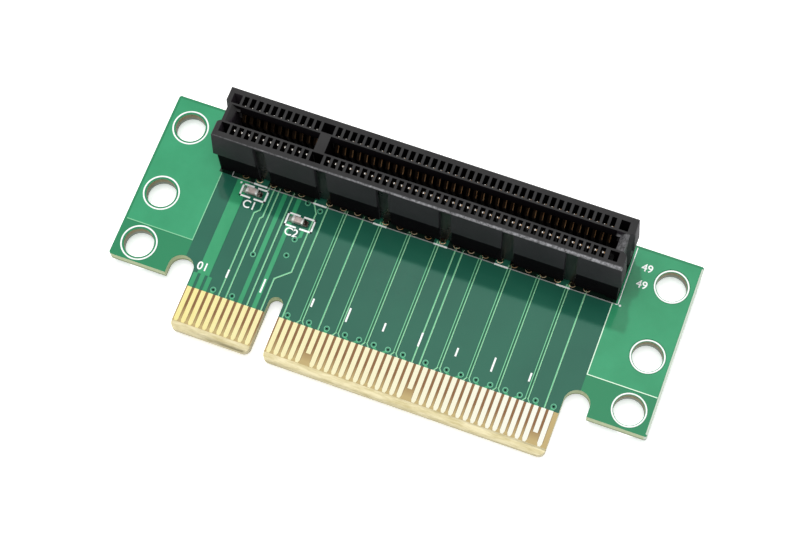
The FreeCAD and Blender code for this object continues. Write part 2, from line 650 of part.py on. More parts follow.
contact_nodes = []
for name, side in SIDES:
    for row in ROWS:
        strips = doc.addObject("Part::Feature", "slot_contacts_%s_%s" % (name, row))
        strips.Shape = Part.makeCompound([contact(pin, side, row) for pin in pins_of(side, row)])
        joints = doc.addObject("Part::Feature", "solder_%s_%s" % (name, row))
        joints.Shape = Part.makeCompound([solder_joint(pin, side, row) for pin in pins_of(side, row)])
        contact_nodes += [strips, joints]


# Chip capacitors: a ceramic body between two plated ends, soldered to two lands

def bound_box(label, length, width, height, x, y, z):
    """A box centred on x and y that stands on z, all of them formulas."""
    box = doc.addObject("Part::Box", label)
    box.setExpression("Length", length)
    box.setExpression("Width", width)
    box.setExpression("Height", height)
    box.setExpression(".Placement.Base.x", "%s - (%s) / 2" % (x, length))
    box.setExpression(".Placement.Base.y", "%s - (%s) / 2" % (y, width))
    box.setExpression(".Placement.Base.z", z)
    return box


def group_of(label, members):
    group = doc.addObject("Part::Compound", label)
    group.Links = members
    return group


def fillet_wedge(label, direction, x, y):
    """Solder from its land up the end of a chip: a wedge that falls away from the chip."""
    wedge = doc.addObject("Part::Wedge", label)
    wedge.Xmin = 0
    wedge.Ymin = 0
    wedge.Zmin = 0
    wedge.X2min = 0
    wedge.setExpression("Xmax", cell("land_length"))
    wedge.setExpression("X2max", cell("land_length") + " / 5")
    wedge.setExpression("Ymax", cell("fillet_height"))
    wedge.setExpression("Zmax", cell("chip_width"))
    wedge.Z2min = 0
    wedge.setExpression("Z2max", cell("chip_width"))
    # The wedge's height is turned from Y to Z, and its foot points away from the chip.
    turn = FreeCAD.Rotation(V(1, 0, 0), 90)
    if direction < 0:
        turn = FreeCAD.Rotation(V(0, 0, 1), 180).multiply(turn)
    wedge.Placement = FreeCAD.Placement(V(0, 0, 0), turn)
    sign = "+" if direction > 0 else "-"
    wedge.setExpression(".Placement.Base.x", "%s %s %s / 2" % (x, sign, cell("chip_length")))
    wedge.setExpression(".Placement.Base.y", "%s %s %s / 2" % (y, sign, cell("chip_width")))
    wedge.setExpression(".Placement.Base.z", BOARD_TOP)
    return wedge


chip_nodes = []
for name in ("near", "far"):
    x = "(%s - %s)" % (KEY_X, cell("%s_chip_from_key" % name))
    y = "(%s - %s)" % (SLOT_Y, cell("%s_chip_from_slot" % name))
    z = "%s + %s" % (BOARD_TOP, cell("land_height"))
    body_length = "%s - 2 * %s" % (cell("chip_length"), cell("chip_end"))
    lip = cell("chip_end_lip")
    body_width = "%s - 2 * %s" % (cell("chip_width"), lip)
    body_height = "%s - 2 * %s" % (cell("chip_height"), lip)
    body_z = "%s + %s" % (z, lip)
    chip = bound_box("capacitor_%s_body" % name, body_length, body_width, body_height, x, y, body_z)
    ends = []
    solder = []
    for direction, sign in ((-1, "-"), (1, "+")):
        end_x = "(%s %s (%s - %s) / 2)" % (x, sign, cell("chip_length"), cell("chip_end"))
        blank = bound_box("capacitor_%s_end_%d" % (name, direction + 2), cell("chip_end"),
                          cell("chip_width"), cell("chip_height"), end_x, y, z)
        ends.append(blank)
        under = bound_box("solder_%s_under_%d" % (name, direction + 2), cell("chip_end"),
                          cell("chip_width"), cell("land_height"), end_x, y, BOARD_TOP)
        wedge = fillet_wedge("solder_%s_fillet_%d" % (name, direction + 2), direction, x, y)
        joint = doc.addObject("Part::Fuse", "solder_%s_joint_%d" % (name, direction + 2))
        joint.Base = under
        joint.Tool = wedge
        solder.append(joint)
    chip_nodes += [chip, group_of("capacitor_%s_ends" % name, ends),
                   group_of("capacitor_%s_solder" % name, solder)]


# Copper under the mask: an area on each wing, supply strips and signal traces

copper_nodes = []
POUR_WIDTH = "(%s - %s - %s)" % (cell("wing_length"), cell("pour_margin"), cell("pour_from_side"))
POUR_DEPTH = "(%s - %s - %s)" % (cell("wing_depth"), cell("pour_margin"), cell("pour_from_front"))
for name, sign in (("left", "-"), ("right", "")):
    middle = sign + "(%s - %s - %s / 2)" % (HALF_LENGTH, cell("pour_margin"), POUR_WIDTH)
    pour_y = "%s - %s - %s / 2" % (BACK, cell("pour_margin"), POUR_DEPTH)
    area = bound_box("pour_%s_area" % name, POUR_WIDTH, POUR_DEPTH, cell("copper_height"),
                     middle, pour_y, BOARD_TOP)
    rings = []
    for row, row_y in enumerate(HOLE_ROWS):
        bare = doc.addObject("Part::Prism", "pour_%s_bare_%d" % (name, row + 1))
        bare.Polygon = 16
        bare.setExpression("Circumradius", "%s / 2 + %s" % (cell("hole_diameter"), cell("pour_hole_gap")))
        bare.setExpression("Height", "2 * " + cell("copper_height"))
        bare.setExpression(".Placement.Base.x", sign + HOLE_X)
        bare.setExpression(".Placement.Base.y", row_y)
        bare.setExpression(".Placement.Base.z", "%s - %s / 2" % (BOARD_TOP, cell("copper_height")))
        rings.append(bare)
    bare_length = "%s + 2 * %s" % (cell("foot_length"), cell("pour_foot_gap"))
    bare_width = "2 * (%s + %s)" % (BASE_HALF, cell("pour_foot_gap"))
    rings.append(bound_box("pour_%s_bare_feet" % name, bare_length, bare_width,
                           "2 * " + cell("copper_height"),
                           sign + "(%s - %s / 2)" % (BASE_END, cell("foot_length")), SLOT_Y,
                           "%s - %s / 2" % (BOARD_TOP, cell("copper_height"))))
    bare_rings = doc.addObject("Part::MultiFuse", "pour_%s_bare" % name)
    bare_rings.Shapes = rings
    pour = doc.addObject("Part::Cut", "copper_pour_%s" % name)
    pour.Base = area
    pour.Tool = bare_rings
    copper_nodes.append(pour)

copper = size("copper_height")
finger_root = card_edge + size("finger_from_edge") + size("finger_length")
trace_end = slot_y - size("trace_from_slot")
trace_run = trace_end - finger_root


def flat_strip(points, level):
    """A flat piece of copper with the given outline."""
    corners = [V(x, y, level) for x, y in points]
    return Part.Face(Part.makePolygon(corners + corners[:1])).extrude(V(0, 0, copper))


def straight_strip(x, width, low, high, level):
    return flat_strip([(x - width / 2, low), (x + width / 2, low),
                       (x + width / 2, high), (x - width / 2, high)], level)


def paired_trace(pin, lean, level):
    """One trace of a pair: straight from the slot, then a step out to its finger."""
    half = size("trace_width") / 2
    x_finger = contact_x(pin)
    x_pair = x_finger + lean * (pitch - size("pair_gap")) / 2
    knee = finger_root + size("neck_length")
    return flat_strip([(x_finger - half, finger_root), (x_finger + half, finger_root),
                       (x_pair + half, knee), (x_pair + half, trace_end),
                       (x_pair - half, trace_end), (x_pair - half, knee)], level)


def routed_strip(points, width, level):
    """Copper of one width along a bent path."""
    path = [V(x, y, 0) for x, y in points]
    left = []
    right = []
    for index, point in enumerate(path):
        directions = []
        if index > 0:
            directions.append((point - path[index - 1]).normalize())
        if index < len(path) - 1:
            directions.append((path[index + 1] - point).normalize())
        normals = [V(-step.y, step.x, 0) for step in directions]
        mitre = normals[0] if len(normals) == 1 else (normals[0] + normals[1]).normalize()
        reach = width / 2 / mitre.dot(normals[0])
        left.append(point + mitre * reach)
        right.append(point - mitre * reach)
    return flat_strip([(corner.x, corner.y) for corner in left + right[::-1]], level)


# Contacts on the long side are counted from the key: the first of each pair, then the single ones.
PAIRS = past_key((3, 8, 12, 16, 22, 26, 30, 34))
SINGLES = [before_key - 2] + past_key((1, 6, 19, 20, 37))

# Bent traces: for each contact counted back from the key, places along the way.
# A place is a sideways step and a share of the run from finger to slot.
BENT = (
    (6, ((0, 0), (0, 0.74), (0.6, 0.775))),
    (5, ((0, 0), (0, 0.71), (0.3, 0.73))),
    (4, ((0, 0.41), (0, 0.7))),
    (0, ((0, 0), (0, 0.28), (1.8, 0.375), (1.8, 0.895), (1.1, 0.965))),
)


def clear_of_chips(shape):
    """Copper with a clear place where the solder of a capacitor stands."""
    for node in chip_nodes:
        shape = shape.cut(node.Shape)
    return shape


doc.recompute()
traces = []
for back_from_key, places in BENT:
    finger_x = contact_x(before_key - back_from_key)
    route = [(finger_x + aside, finger_root + share * trace_run) for aside, share in places]
    route.append((route[-1][0], trace_end))
    traces.append(routed_strip(route, size("trace_width"), board_top))
for pin in PAIRS:
    traces.append(paired_trace(pin, 1, board_top))
    traces.append(paired_trace(pin + 1, -1, board_top))
for pin in SINGLES:
    traces.append(straight_strip(contact_x(pin), size("trace_width"), finger_root, trace_end, board_top))
traces_front = doc.addObject("Part::Feature", "signal_traces_front")
traces_front.Shape = clear_of_chips(Part.makeCompound(traces))

# The first supply strip feeds the outermost fingers, and two narrower strips feed one finger each.
FAN_PINS = range(1, before_key - 7)
fan_root = finger_root + size("fan_length")
strip_x = (contact_x(FAN_PINS[0]) + contact_x(FAN_PINS[-1])) / 2
wide = size("wide_strip_width")
narrow = size("narrow_strip_width")
strip_shapes = [straight_strip(strip_x, wide, fan_root, trace_end, board_top)]
for pin in FAN_PINS:
    strip_shapes.append(straight_strip(contact_x(pin), narrow, finger_root, fan_root, board_top))
fan = strip_shapes[0].multiFuse(strip_shapes[1:]).removeSplitter()
strips = [fan]
for pin in (before_key - 3, before_key - 1):
    strips.append(straight_strip(contact_x(pin), narrow, finger_root, trace_end, board_top))
supply = doc.addObject("Part::Feature", "supply_strips")
supply.Shape = clear_of_chips(Part.makeCompound(strips))

doc.recompute()

NODES = ([circuit_board, fingers_front, fingers_back, housing] + contact_nodes + chip_nodes
         + copper_nodes + [supply, traces_front])

for item in doc.Objects:
    if "Invalid" in item.State or "Error" in item.State:
        raise RuntimeError("%s did not build: %s" % (item.Label, item.State))

os.makedirs("parts", exist_ok=True)
for node in NODES:
    node.Label = node.Name
    if node.Shape.isNull() or not node.Shape.isValid():
        raise RuntimeError("%s has no valid shape" % node.Label)
    node.Shape.exportStep("parts/%s.step" % node.Label)
    print(node.Label, len(node.Shape.Solids), "solids", round(node.Shape.Volume, 3), "mm3")
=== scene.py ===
# %% [markdown]
# # An eight lane riser card
# The card is a green circuit board that carries a black card slot. Gold fingers line its front edge,
# and two wings with ringed holes hold it in a bracket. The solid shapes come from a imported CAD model.
# This lesson dresses them: it gives each surface its finish, rounds the slot's edges, and adds the
# printed lines, small plated rings and solder that are too fine for the CAD model.

import math

import bpy
from mathutils import Matrix, Vector


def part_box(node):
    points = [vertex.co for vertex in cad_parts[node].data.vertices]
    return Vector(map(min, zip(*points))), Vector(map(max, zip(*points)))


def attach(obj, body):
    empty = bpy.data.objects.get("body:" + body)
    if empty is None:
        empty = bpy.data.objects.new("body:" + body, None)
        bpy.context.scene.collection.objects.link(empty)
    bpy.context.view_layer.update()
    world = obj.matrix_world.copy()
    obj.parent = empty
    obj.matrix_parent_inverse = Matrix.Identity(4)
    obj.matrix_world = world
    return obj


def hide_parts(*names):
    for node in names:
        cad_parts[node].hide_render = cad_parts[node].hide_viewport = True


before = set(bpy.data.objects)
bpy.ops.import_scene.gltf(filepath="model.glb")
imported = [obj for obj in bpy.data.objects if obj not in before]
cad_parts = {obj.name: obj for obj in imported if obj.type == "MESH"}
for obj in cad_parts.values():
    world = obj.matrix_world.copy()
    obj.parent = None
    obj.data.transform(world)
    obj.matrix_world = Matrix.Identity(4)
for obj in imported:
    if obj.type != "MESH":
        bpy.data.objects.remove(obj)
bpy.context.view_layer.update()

# %% [markdown]
# Everything on a circuit board is drawn in millimetres, while Blender works in metres. One factor keeps
# the numbers below readable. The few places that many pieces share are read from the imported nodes, so
# that the print, rings and solder lie exactly on the board.

# %% Shared sizes and places
MM = 0.001

board_low, board_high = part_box("circuit_board")
slot_low, slot_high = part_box("slot_housing")
BOARD_TOP = board_high[2] / MM
BOARD_UNDER = board_low[2] / MM
CARD_EDGE = board_low[1] / MM
BACK_EDGE = board_high[1] / MM
SLOT_MIDDLE = (slot_low[1] + slot_high[1]) / 2 / MM
SLOT_TOP = slot_high[2] / MM

KEY = -13.75
FIRST_CONTACT = KEY - 11.5
FINGER_ROOT = CARD_EDGE + 6.05
PIN_COUNT = 49
PINS_BEFORE_KEY = 11
OUTLINE_FRONT = 6.88


def contact_x(pin):
    """Place along the slot of a contact or finger, counted from 1."""
    past_key = 2.0 if pin > PINS_BEFORE_KEY else 0.0
    return FIRST_CONTACT + pin - 1 + past_key


print("board top", round(BOARD_TOP, 3), "slot middle", round(SLOT_MIDDLE, 3))
print("last contact", contact_x(PIN_COUNT))

# %% [markdown]
# ## Camera
# A photograph fixes its own camera. The numbers below were solved beforehand from the even spacing of the
# gold fingers and holes: where the camera stood, how it was turned, and its focal length. The lens shift
# is tiny and says that the picture was cropped a little off its centre.

# %% Camera
camera_data = bpy.data.cameras.new("studio_camera")
camera = bpy.data.objects.new("studio_camera", camera_data)
bpy.context.collection.objects.link(camera)
camera_data.sensor_width = 36.0
camera_data.lens = 88.93
camera_data.shift_x = -0.0126
camera_data.shift_y = 0.0015
camera_data.clip_start = 0.01
camera_right = Vector((0.93701, 0.34821, -0.02763))
camera_down = Vector((0.31578, -0.87823, -0.35916))
camera_forward = Vector((-0.14933, 0.32781, -0.93287))
turn = Matrix((camera_right, -camera_down, -camera_forward)).transposed().to_4x4()
camera.matrix_world = Matrix.Translation(Vector((39.955, -83.02, 244.334)) * MM) @ turn
bpy.context.scene.camera = camera
bpy.context.scene.view_settings.view_transform = "Standard"
print("camera at", [round(value / MM, 2) for value in camera.location])

# %% [markdown]
# ## Light
# Of all the lights, only the white world mirrors in the card, which keeps the green deep and the gold
# even. It gives little light of its own, so the space under the slot's panels stays black as in the
# photograph. The light path node tells the two apart: a ray from the camera or from a mirroring surface
# meets full white, and every other ray meets the low level.

# %% World
FILL_LEVEL = 0.2

world = bpy.data.worlds.new("white_studio")
bpy.context.scene.world = world
world.use_nodes = True
backdrop = world.node_tree.nodes["Background"]
backdrop.inputs["Color"].default_value = (1.0, 1.0, 1.0, 1.0)
light_path = world.node_tree.nodes.new("ShaderNodeLightPath")
seen = world.node_tree.nodes.new("ShaderNodeMath")
seen.operation = "MAXIMUM"
level = world.node_tree.nodes.new("ShaderNodeMapRange")
level.inputs["To Min"].default_value = FILL_LEVEL
for source, target in ((light_path.outputs["Is Camera Ray"], seen.inputs[0]),
                       (light_path.outputs["Is Glossy Ray"], seen.inputs[1]),
                       (seen.outputs[0], level.inputs["Value"]),
                       (level.outputs[0], backdrop.inputs["Strength"])):
    world.node_tree.links.new(source, target)
print("world level", FILL_LEVEL)

# %% [markdown]
# Product photographs of boards use a broad soft light from above and one compact lamp. The lamp stands
# behind the card, so the tall slot throws a band of shade onto the board in front of it. Neither of them
# mirrors in the card.

# %% Lamps
KEY_WATTS = 1.7
TOP_WATTS = 5.5


def add_softbox(name, direction, distance, width, watts):
    """A square area lamp that faces the middle of the card."""
    lamp = bpy.data.lights.new(name, "AREA")
    lamp.shape = "SQUARE"
    lamp.size = width
    lamp.energy = watts
    softbox = bpy.data.objects.new(name, lamp)
    bpy.context.collection.objects.link(softbox)
    place = Vector(direction).normalized() * distance
    softbox.matrix_world = Matrix.Translation(place) @ place.to_track_quat("Z", "Y").to_matrix().to_4x4()
    softbox.visible_glossy = False
    print(name, "at", [round(value, 3) for value in place])


add_softbox("key_lamp", (-0.16, 0.33, 0.93), 0.7, 0.028, KEY_WATTS)
add_softbox("top_softbox", (0.0, -0.05, 1.0), 0.8, 0.7, TOP_WATTS)

# %% [markdown]
# ## Finishes
# Each finish starts from the same shader and adds a few nodes: noise, tests of the place on the card, and
# mixes of colours. The class below holds those steps, so that a finish reads like a recipe. Patterns read
# the place on the card itself, so they stay sharp at any distance and stay put when the card is moved.

# %% Helpers for finishes


class Finish:
    """A material with its shader, and short ways to add and join nodes."""

    def __init__(self, name):
        self.material = bpy.data.materials.new(name)
        self.material.use_nodes = True
        self.nodes = self.material.node_tree.nodes
        self.shader = self.nodes["Principled BSDF"]
        self.place = self.nodes.new("ShaderNodeTexCoord")
        print("finish", name)

    def set(self, **values):
        for name, value in values.items():
            self.shader.inputs[name.replace("_", " ")].default_value = value

    def link(self, source, target):
        self.material.node_tree.links.new(source, target)

    def to_shader(self, source, name):
        self.link(source, self.shader.inputs[name])

    def paint(self, colour):
        self.to_shader(colour, "Base Color")

    def colour(self):
        """The colour that the shader has so far."""
        return self.shader.inputs["Base Color"].links[0].from_socket

    def parts(self, output="Object"):
        split = self.nodes.new("ShaderNodeSeparateXYZ")
        self.link(self.place.outputs[output], split.inputs[0])
        return split.outputs

    def maths(self, operation, first, second=0.0):
        node = self.nodes.new("ShaderNodeMath")
        node.operation = operation
        for index, value in enumerate((first, second)):
            if isinstance(value, (int, float)):
                node.inputs[index].default_value = value
            else:
                self.link(value, node.inputs[index])
        return node.outputs[0]

    def times(self, first, second):
        return self.maths("MULTIPLY", first, second)

    def minus(self, first, second):
        return self.maths("SUBTRACT", first, second)

    def size(self, value):
        """The value without its sign."""
        return self.maths("ABSOLUTE", value)

    def above(self, value, limit):
        """1 where the value is above the limit, 0 elsewhere."""
        return self.maths("GREATER_THAN", value, limit)

    def below(self, value, limit):
        return self.maths("LESS_THAN", value, limit)

    def between(self, value, low, high):
        return self.times(self.above(value, low), self.below(value, high))

    def noise(self, scale, detail=4.0, roughness=0.55, stretch=(1, 1, 1)):
        mapping = self.nodes.new("ShaderNodeMapping")
        mapping.inputs["Scale"].default_value = stretch
        self.link(self.place.outputs["Object"], mapping.inputs["Vector"])
        node = self.nodes.new("ShaderNodeTexNoise")
        node.inputs["Scale"].default_value = scale
        node.inputs["Detail"].default_value = detail
        node.inputs["Roughness"].default_value = roughness
        self.link(mapping.outputs[0], node.inputs["Vector"])
        return node.outputs["Fac"]

    def ramp(self, source, stops):
        node = self.nodes.new("ShaderNodeValToRGB")
        while len(node.color_ramp.elements) < len(stops):
            node.color_ramp.elements.new(1.0)
        for element, (position, colour) in zip(node.color_ramp.elements, stops):
            element.position = position
            element.color = (*colour, 1.0)
        self.link(source, node.inputs["Fac"])
        return node.outputs["Color"]

    def mix(self, factor, first, second):
        node = self.nodes.new("ShaderNodeMix")
        node.data_type = "RGBA"
        for socket, value in ((node.inputs[0], factor), (node.inputs[6], first), (node.inputs[7], second)):
            if isinstance(value, (int, float)):
                socket.default_value = value
            elif isinstance(value, tuple):
                socket.default_value = (*value, 1.0)
            else:
                self.link(value, socket)
        return node.outputs[2]

    def spread(self, source, low, high, start=0.0, end=1.0):
        """Turns a pattern that runs from start to end into values between low and high."""
        node = self.nodes.new("ShaderNodeMapRange")
        for name, value in (("From Min", start), ("From Max", end), ("To Min", low), ("To Max", high)):
            node.inputs[name].default_value = value
        self.link(source, node.inputs["Value"])
        return node.outputs[0]

    def bump(self, height, distance, strength=1.0):
        node = self.nodes.new("ShaderNodeBump")
        node.inputs["Strength"].default_value = strength
        node.inputs["Distance"].default_value = distance
        self.link(height, node.inputs["Height"])
        self.to_shader(node.outputs[0], "Normal")


# %% [markdown]
# ## Floor
# The floor is a broad white sheet that keeps a faint shadow under the card. Its colour does most of the
# work. The added glow is seen by the camera and by mirror reflections only, so it lights nothing on the card.

# %% Floor
FLOOR_GLOW = 0.52


def mode(name):
    bpy.ops.object.mode_set(mode=name)


def select_nothing():
    """Operators act on whatever is selected, so each new piece starts with nothing selected."""
    if bpy.context.mode != "OBJECT":
        mode("OBJECT")
    bpy.ops.object.select_all(action="DESELECT")


def apply_place():
    """Writes the place, turn and scale of the active piece into its mesh."""
    bpy.ops.object.transform_apply(location=True, rotation=True, scale=True)


sheet = Finish("white_sheet")
sheet.set(Base_Color=(0.93, 0.93, 0.93, 1), Roughness=0.9)
floor_path = sheet.nodes.new("ShaderNodeLightPath")
floor_seen = sheet.maths("MAXIMUM", floor_path.outputs["Is Camera Ray"], floor_path.outputs["Is Glossy Ray"])
sheet.shader.inputs["Emission Color"].default_value = (1, 1, 1, 1)
sheet.to_shader(sheet.times(floor_seen, FLOOR_GLOW), "Emission Strength")

select_nothing()
bpy.ops.mesh.primitive_plane_add(size=1.6, location=(0, 0, -0.0002))
apply_place()
floor = bpy.context.object
floor.name = "floor"
floor.data.materials.append(sheet.material)

# %% [markdown]
# ## Circuit board
# The real board is woven glass in resin. Green solder mask covers both faces, up to the fingers. Over bare
# board the mask looks dark and a little grey; over copper it looks bright. The cut edges and the bevelled
# card edge show pale laminate with fine layers. One material on the board piece does all of it: it reads
# the place on the board and the direction of the surface.

# %% Places on the board
WING_START = 27.4
MASK_END = FINGER_ROOT - 0.02
BEVEL_START = CARD_EDGE + 1.02

board = Finish("green_board")
board.set(IOR=1.5)
board_x, board_y, board_z = board.parts()
from_middle = board.size(board_x)
flat = board.above(board.size(board.parts("Normal")[2]), 0.8)
wing = board.above(from_middle, WING_START * MM)
bare = board.below(board_y, MASK_END * MM)
bevel = board.below(board_y, BEVEL_START * MM)
print("mask ends at", round(MASK_END, 2), "bevel starts at", round(BEVEL_START, 2))

# %% [markdown]
# Between the fingers the bare laminate lies in their shade and looks brown. It is lighter near their tips,
# and beside the last finger, where it is wide and lies in full light.

# %% Faces of the board
MASK_DARK = (0.018, 0.125, 0.078)
MASK_DEEP = (0.014, 0.102, 0.066)
MASK_WING = (0.021, 0.218, 0.096)
LAMINATE_GAP = (0.23, 0.12, 0.052)
LAMINATE_TIP = (0.47, 0.36, 0.165)
LAMINATE_PALE = (0.80, 0.72, 0.46)
LAMINATE_LINE = (0.58, 0.50, 0.26)

clouds = board.noise(90.0, detail=3.0)
mask_colour = board.ramp(clouds, [(0.3, MASK_DEEP), (0.7, MASK_DARK)])
mask_colour = board.mix(wing, mask_colour, MASK_WING)
layers = board.noise(60.0, detail=6.0, roughness=0.7, stretch=(6, 6, 120))
laminate = board.ramp(layers, [(0.38, LAMINATE_LINE), (0.6, LAMINATE_PALE)])
tips = board.spread(board_y, 0.0, 1.0, (BEVEL_START + 2.6) * MM, (BEVEL_START + 0.5) * MM)
gap_colour = board.mix(tips, LAMINATE_GAP, LAMINATE_TIP)
beside_last = board.above(board_x, (contact_x(PIN_COUNT) + 0.37) * MM)
gap_colour = board.mix(beside_last, gap_colour, LAMINATE_TIP)
face_colour = board.mix(bare, mask_colour, gap_colour)
face_colour = board.mix(bevel, face_colour, laminate)
print("mask", MASK_DARK, "laminate", LAMINATE_PALE)

# %% [markdown]
# The walls are cut laminate. They look greenish beside the mask, fall into shade near the lower rim, and
# are torn and pale on the right side. A drilled hole is brown near its upper rim and grey further down.

# %% Walls of the board
WALL_GREEN = (0.52, 0.66, 0.38)
LAMINATE_SHADE = (0.12, 0.13, 0.07)
SCORED_PALE = (0.66, 0.76, 0.64)
HOLE_GREY = (0.30, 0.34, 0.29)
HOLE_BROWN = (0.38, 0.32, 0.17)
HOLE_WALL_FROM = 31.0
HOLE_WALL_TO = 36.9

wall = board.mix(bare, board.mix(0.75, laminate, WALL_GREEN), laminate)
scored = board.above(board_x, board_high[0] - 0.4 * MM)
wall = board.mix(scored, wall, SCORED_PALE)
low_wall = board.spread(board_z, 0.0, 0.55, (BOARD_UNDER + 0.6) * MM, (BOARD_UNDER + 0.35) * MM)
wall = board.mix(low_wall, wall, LAMINATE_SHADE)
in_hole = board.times(
    board.between(from_middle, HOLE_WALL_FROM * MM, HOLE_WALL_TO * MM),
    board.between(board_y, (BACK_EDGE - 24.2) * MM, (BACK_EDGE - 0.3) * MM))
near_upper_rim = board.spread(board_z, 0.0, 1.0, (BOARD_TOP - 1.0) * MM, (BOARD_TOP - 0.75) * MM)
wall = board.mix(in_hole, wall, board.mix(near_upper_rim, HOLE_GREY, HOLE_BROWN))
print("hole walls from", HOLE_WALL_FROM, "to", HOLE_WALL_TO)

# %% [markdown]
# The slot's panels reach out over the board and keep the light from it, except where a recessed bay lets
# some down. All finishes that lie there need this shade, so one function finds it from the place on the card.

# %% Shade under the slot
BAY_PITCH = 8.51
BAY_HALF = 0.95
BAY_LIGHT_STEP = -0.6
SHADE_HALF = 3.93
SHADE_LENGTH = 27.9
SHADE_SHARE = 0.93


def under_slot(finish, share=SHADE_SHARE, half_width=SHADE_HALF):
    """The share in the deep shade under the slot's panels, 0 elsewhere and where a bay lets light down."""
    along, across, height = finish.parts()
    in_length = finish.below(finish.size(along), SHADE_LENGTH * MM)
    in_width = finish.below(finish.size(finish.minus(across, SLOT_MIDDLE * MM)), half_width * MM)
    above_board = finish.above(height, (BOARD_TOP - 0.2) * MM)
    moved = finish.maths("ADD", along, (50 * BAY_PITCH - BAY_LIGHT_STEP) * MM)
    counted = finish.maths("FRACT", finish.maths("DIVIDE", moved, BAY_PITCH * MM))
    from_bay = finish.above(finish.size(finish.minus(counted, 0.5)), BAY_HALF / BAY_PITCH)
    inside = finish.times(finish.times(in_length, in_width), above_board)
    return finish.times(finish.times(inside, from_bay), share)


print("shade reaches", SHADE_HALF, "mm from the slot's middle")

# %% [markdown]
# The mask mirrors the white room, and less of it in the left half of the card than in the right one. Bare
# laminate is rough. A very fine grain keeps the mask from looking like glass.

# %% Finish of the board
MASK_ROUGHNESS = 0.1
BARE_ROUGHNESS = 0.6
SHINE_LEFT = 0.3
SHINE_MIDDLE = 0.5


def mask_surface(finish):
    """Shine that grows from the left end of the card to its middle, and a very fine grain."""
    shine = finish.spread(finish.parts()[0], SHINE_LEFT, SHINE_MIDDLE, board_low[0], 0.0)
    finish.to_shader(shine, "Specular IOR Level")
    finish.bump(finish.noise(2600.0, detail=2.0), 0.000005, 0.2)


board_colour = board.mix(flat, wall, face_colour)
# Painted shade: under the slot's panels, outside the bays, the board colour is mixed towards near black.
board_colour = board.mix(under_slot(board), board_colour, (0.004, 0.005, 0.004))
board.paint(board_colour)
masked = board.times(flat, board.minus(1.0, bare))
board.to_shader(board.spread(masked, BARE_ROUGHNESS, MASK_ROUGHNESS), "Roughness")
mask_surface(board)
print("board finish has", len(board.nodes), "nodes")

# %% [markdown]
# A CAD node's mesh is loose triangles. Where a piece needs worked edges, its mesh is copied, the triangles
# are merged, and flat areas are dissolved back into whole faces. The copy then takes the node's place.

# %% Helpers for copies


def merged_copy(node):
    """A copy of a CAD node's mesh with its triangles merged into whole flat faces."""
    select_nothing()
    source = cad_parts[node]
    piece = bpy.data.objects.new(node + "_copy", source.data.copy())
    bpy.context.collection.objects.link(piece)
    piece.select_set(True)
    bpy.context.view_layer.objects.active = piece
    mode("EDIT")
    bpy.ops.mesh.select_all(action="SELECT")
    bpy.ops.mesh.remove_doubles(threshold=0.000001)
    bpy.ops.mesh.dissolve_limited(angle_limit=math.radians(1))
    mode("OBJECT")
    return piece


def smooth_by_angle(degrees):
    bpy.ops.object.shade_smooth_by_angle(angle=math.radians(degrees))


def finish_piece(name, material):
    """Applies the place of the active piece, names it, and hangs it on the card."""
    mode("OBJECT")
    apply_place()
    piece = bpy.context.object
    piece.name = name
    piece.data.name = name
    piece.data.materials.clear()
    piece.data.materials.append(material)
    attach(piece, "root")
    print(name, "has", len(piece.data.polygons), "faces")
    return piece


# %% [markdown]
# Cards are cut apart along a scored groove. On the right side of this card the groove left a chamfer above
# and below, with pale torn laminate on it. The CAD board has square sides, so a merged copy gets this
# chamfer: the two long edges of that side are selected by their place and bevelled once.

# %% Board with a scored side
SCORE_DEPTH = 0.3
NEAR = 0.01

board_body = merged_copy("circuit_board")
mode("EDIT")
bpy.ops.mesh.select_mode(type="EDGE")
bpy.ops.mesh.select_all(action="DESELECT")
mode("OBJECT")
side_edges = 0
for edge in board_body.data.edges:
    start, end = [board_body.data.vertices[index].co for index in edge.vertices]
    on_side = min(start.x, end.x) > board_high[0] - NEAR * MM
    edge.select = on_side and abs(start.z - end.z) < NEAR * MM
    side_edges += edge.select
mode("EDIT")
bpy.ops.mesh.bevel(offset=SCORE_DEPTH * MM, segments=1, affect="EDGES")
mode("OBJECT")
smooth_by_angle(25)
board_body = finish_piece("board_body", board.material)
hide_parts("circuit_board")
print("bevelled", side_edges, "edges of the side")

# %% [markdown]
# ## Copper under the mask
# Copper areas and traces raise the mask a little, and shine through it as a brighter, yellower green.
# The broad areas are CAD nodes that only need the finish.

# %% Finishes of the masked copper


def masked_copper(name, deep, bright, roughness=MASK_ROUGHNESS):
    """Mask over copper, in clouds between a deep and a bright green, with painted shade under the slot."""
    finish = Finish(name)
    finish.set(IOR=1.5, Roughness=roughness)
    green = finish.ramp(finish.noise(140.0, detail=4.0), [(0.3, deep), (0.7, bright)])
    finish.paint(finish.mix(under_slot(finish), green, (0.004, 0.006, 0.004)))
    mask_surface(finish)
    return finish


def dress(node, finish):
    """Gives a CAD node its finish and leaves its mesh as it is."""
    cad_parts[node].material_slots[0].material = finish.material


pour_finish = masked_copper("mask_over_copper", (0.030, 0.270, 0.122), (0.042, 0.335, 0.16))
trace_finish = masked_copper("mask_over_trace", (0.14, 0.49, 0.26), (0.23, 0.61, 0.345), 0.35)
strip_finish = masked_copper("mask_over_strip", (0.026, 0.265, 0.115), (0.045, 0.34, 0.155))
dress("copper_pour_left", pour_finish)
dress("copper_pour_right", pour_finish)

# %% [markdown]
# The mask flows down over a trace's two edges. Its left shoulder is painted dark as painted shade, and its
# right one is painted as a bright line, a painted highlight. So the traces and strips are merged copies with
# a small bevel, and the trace finish reads which way the surface leans.

# %% Rounded traces and strips
SHOULDER_LEAN = 0.3
SHOULDER_SHADED = (0.045, 0.27, 0.14)
SHOULDER_LIT = (0.62, 0.95, 0.60)


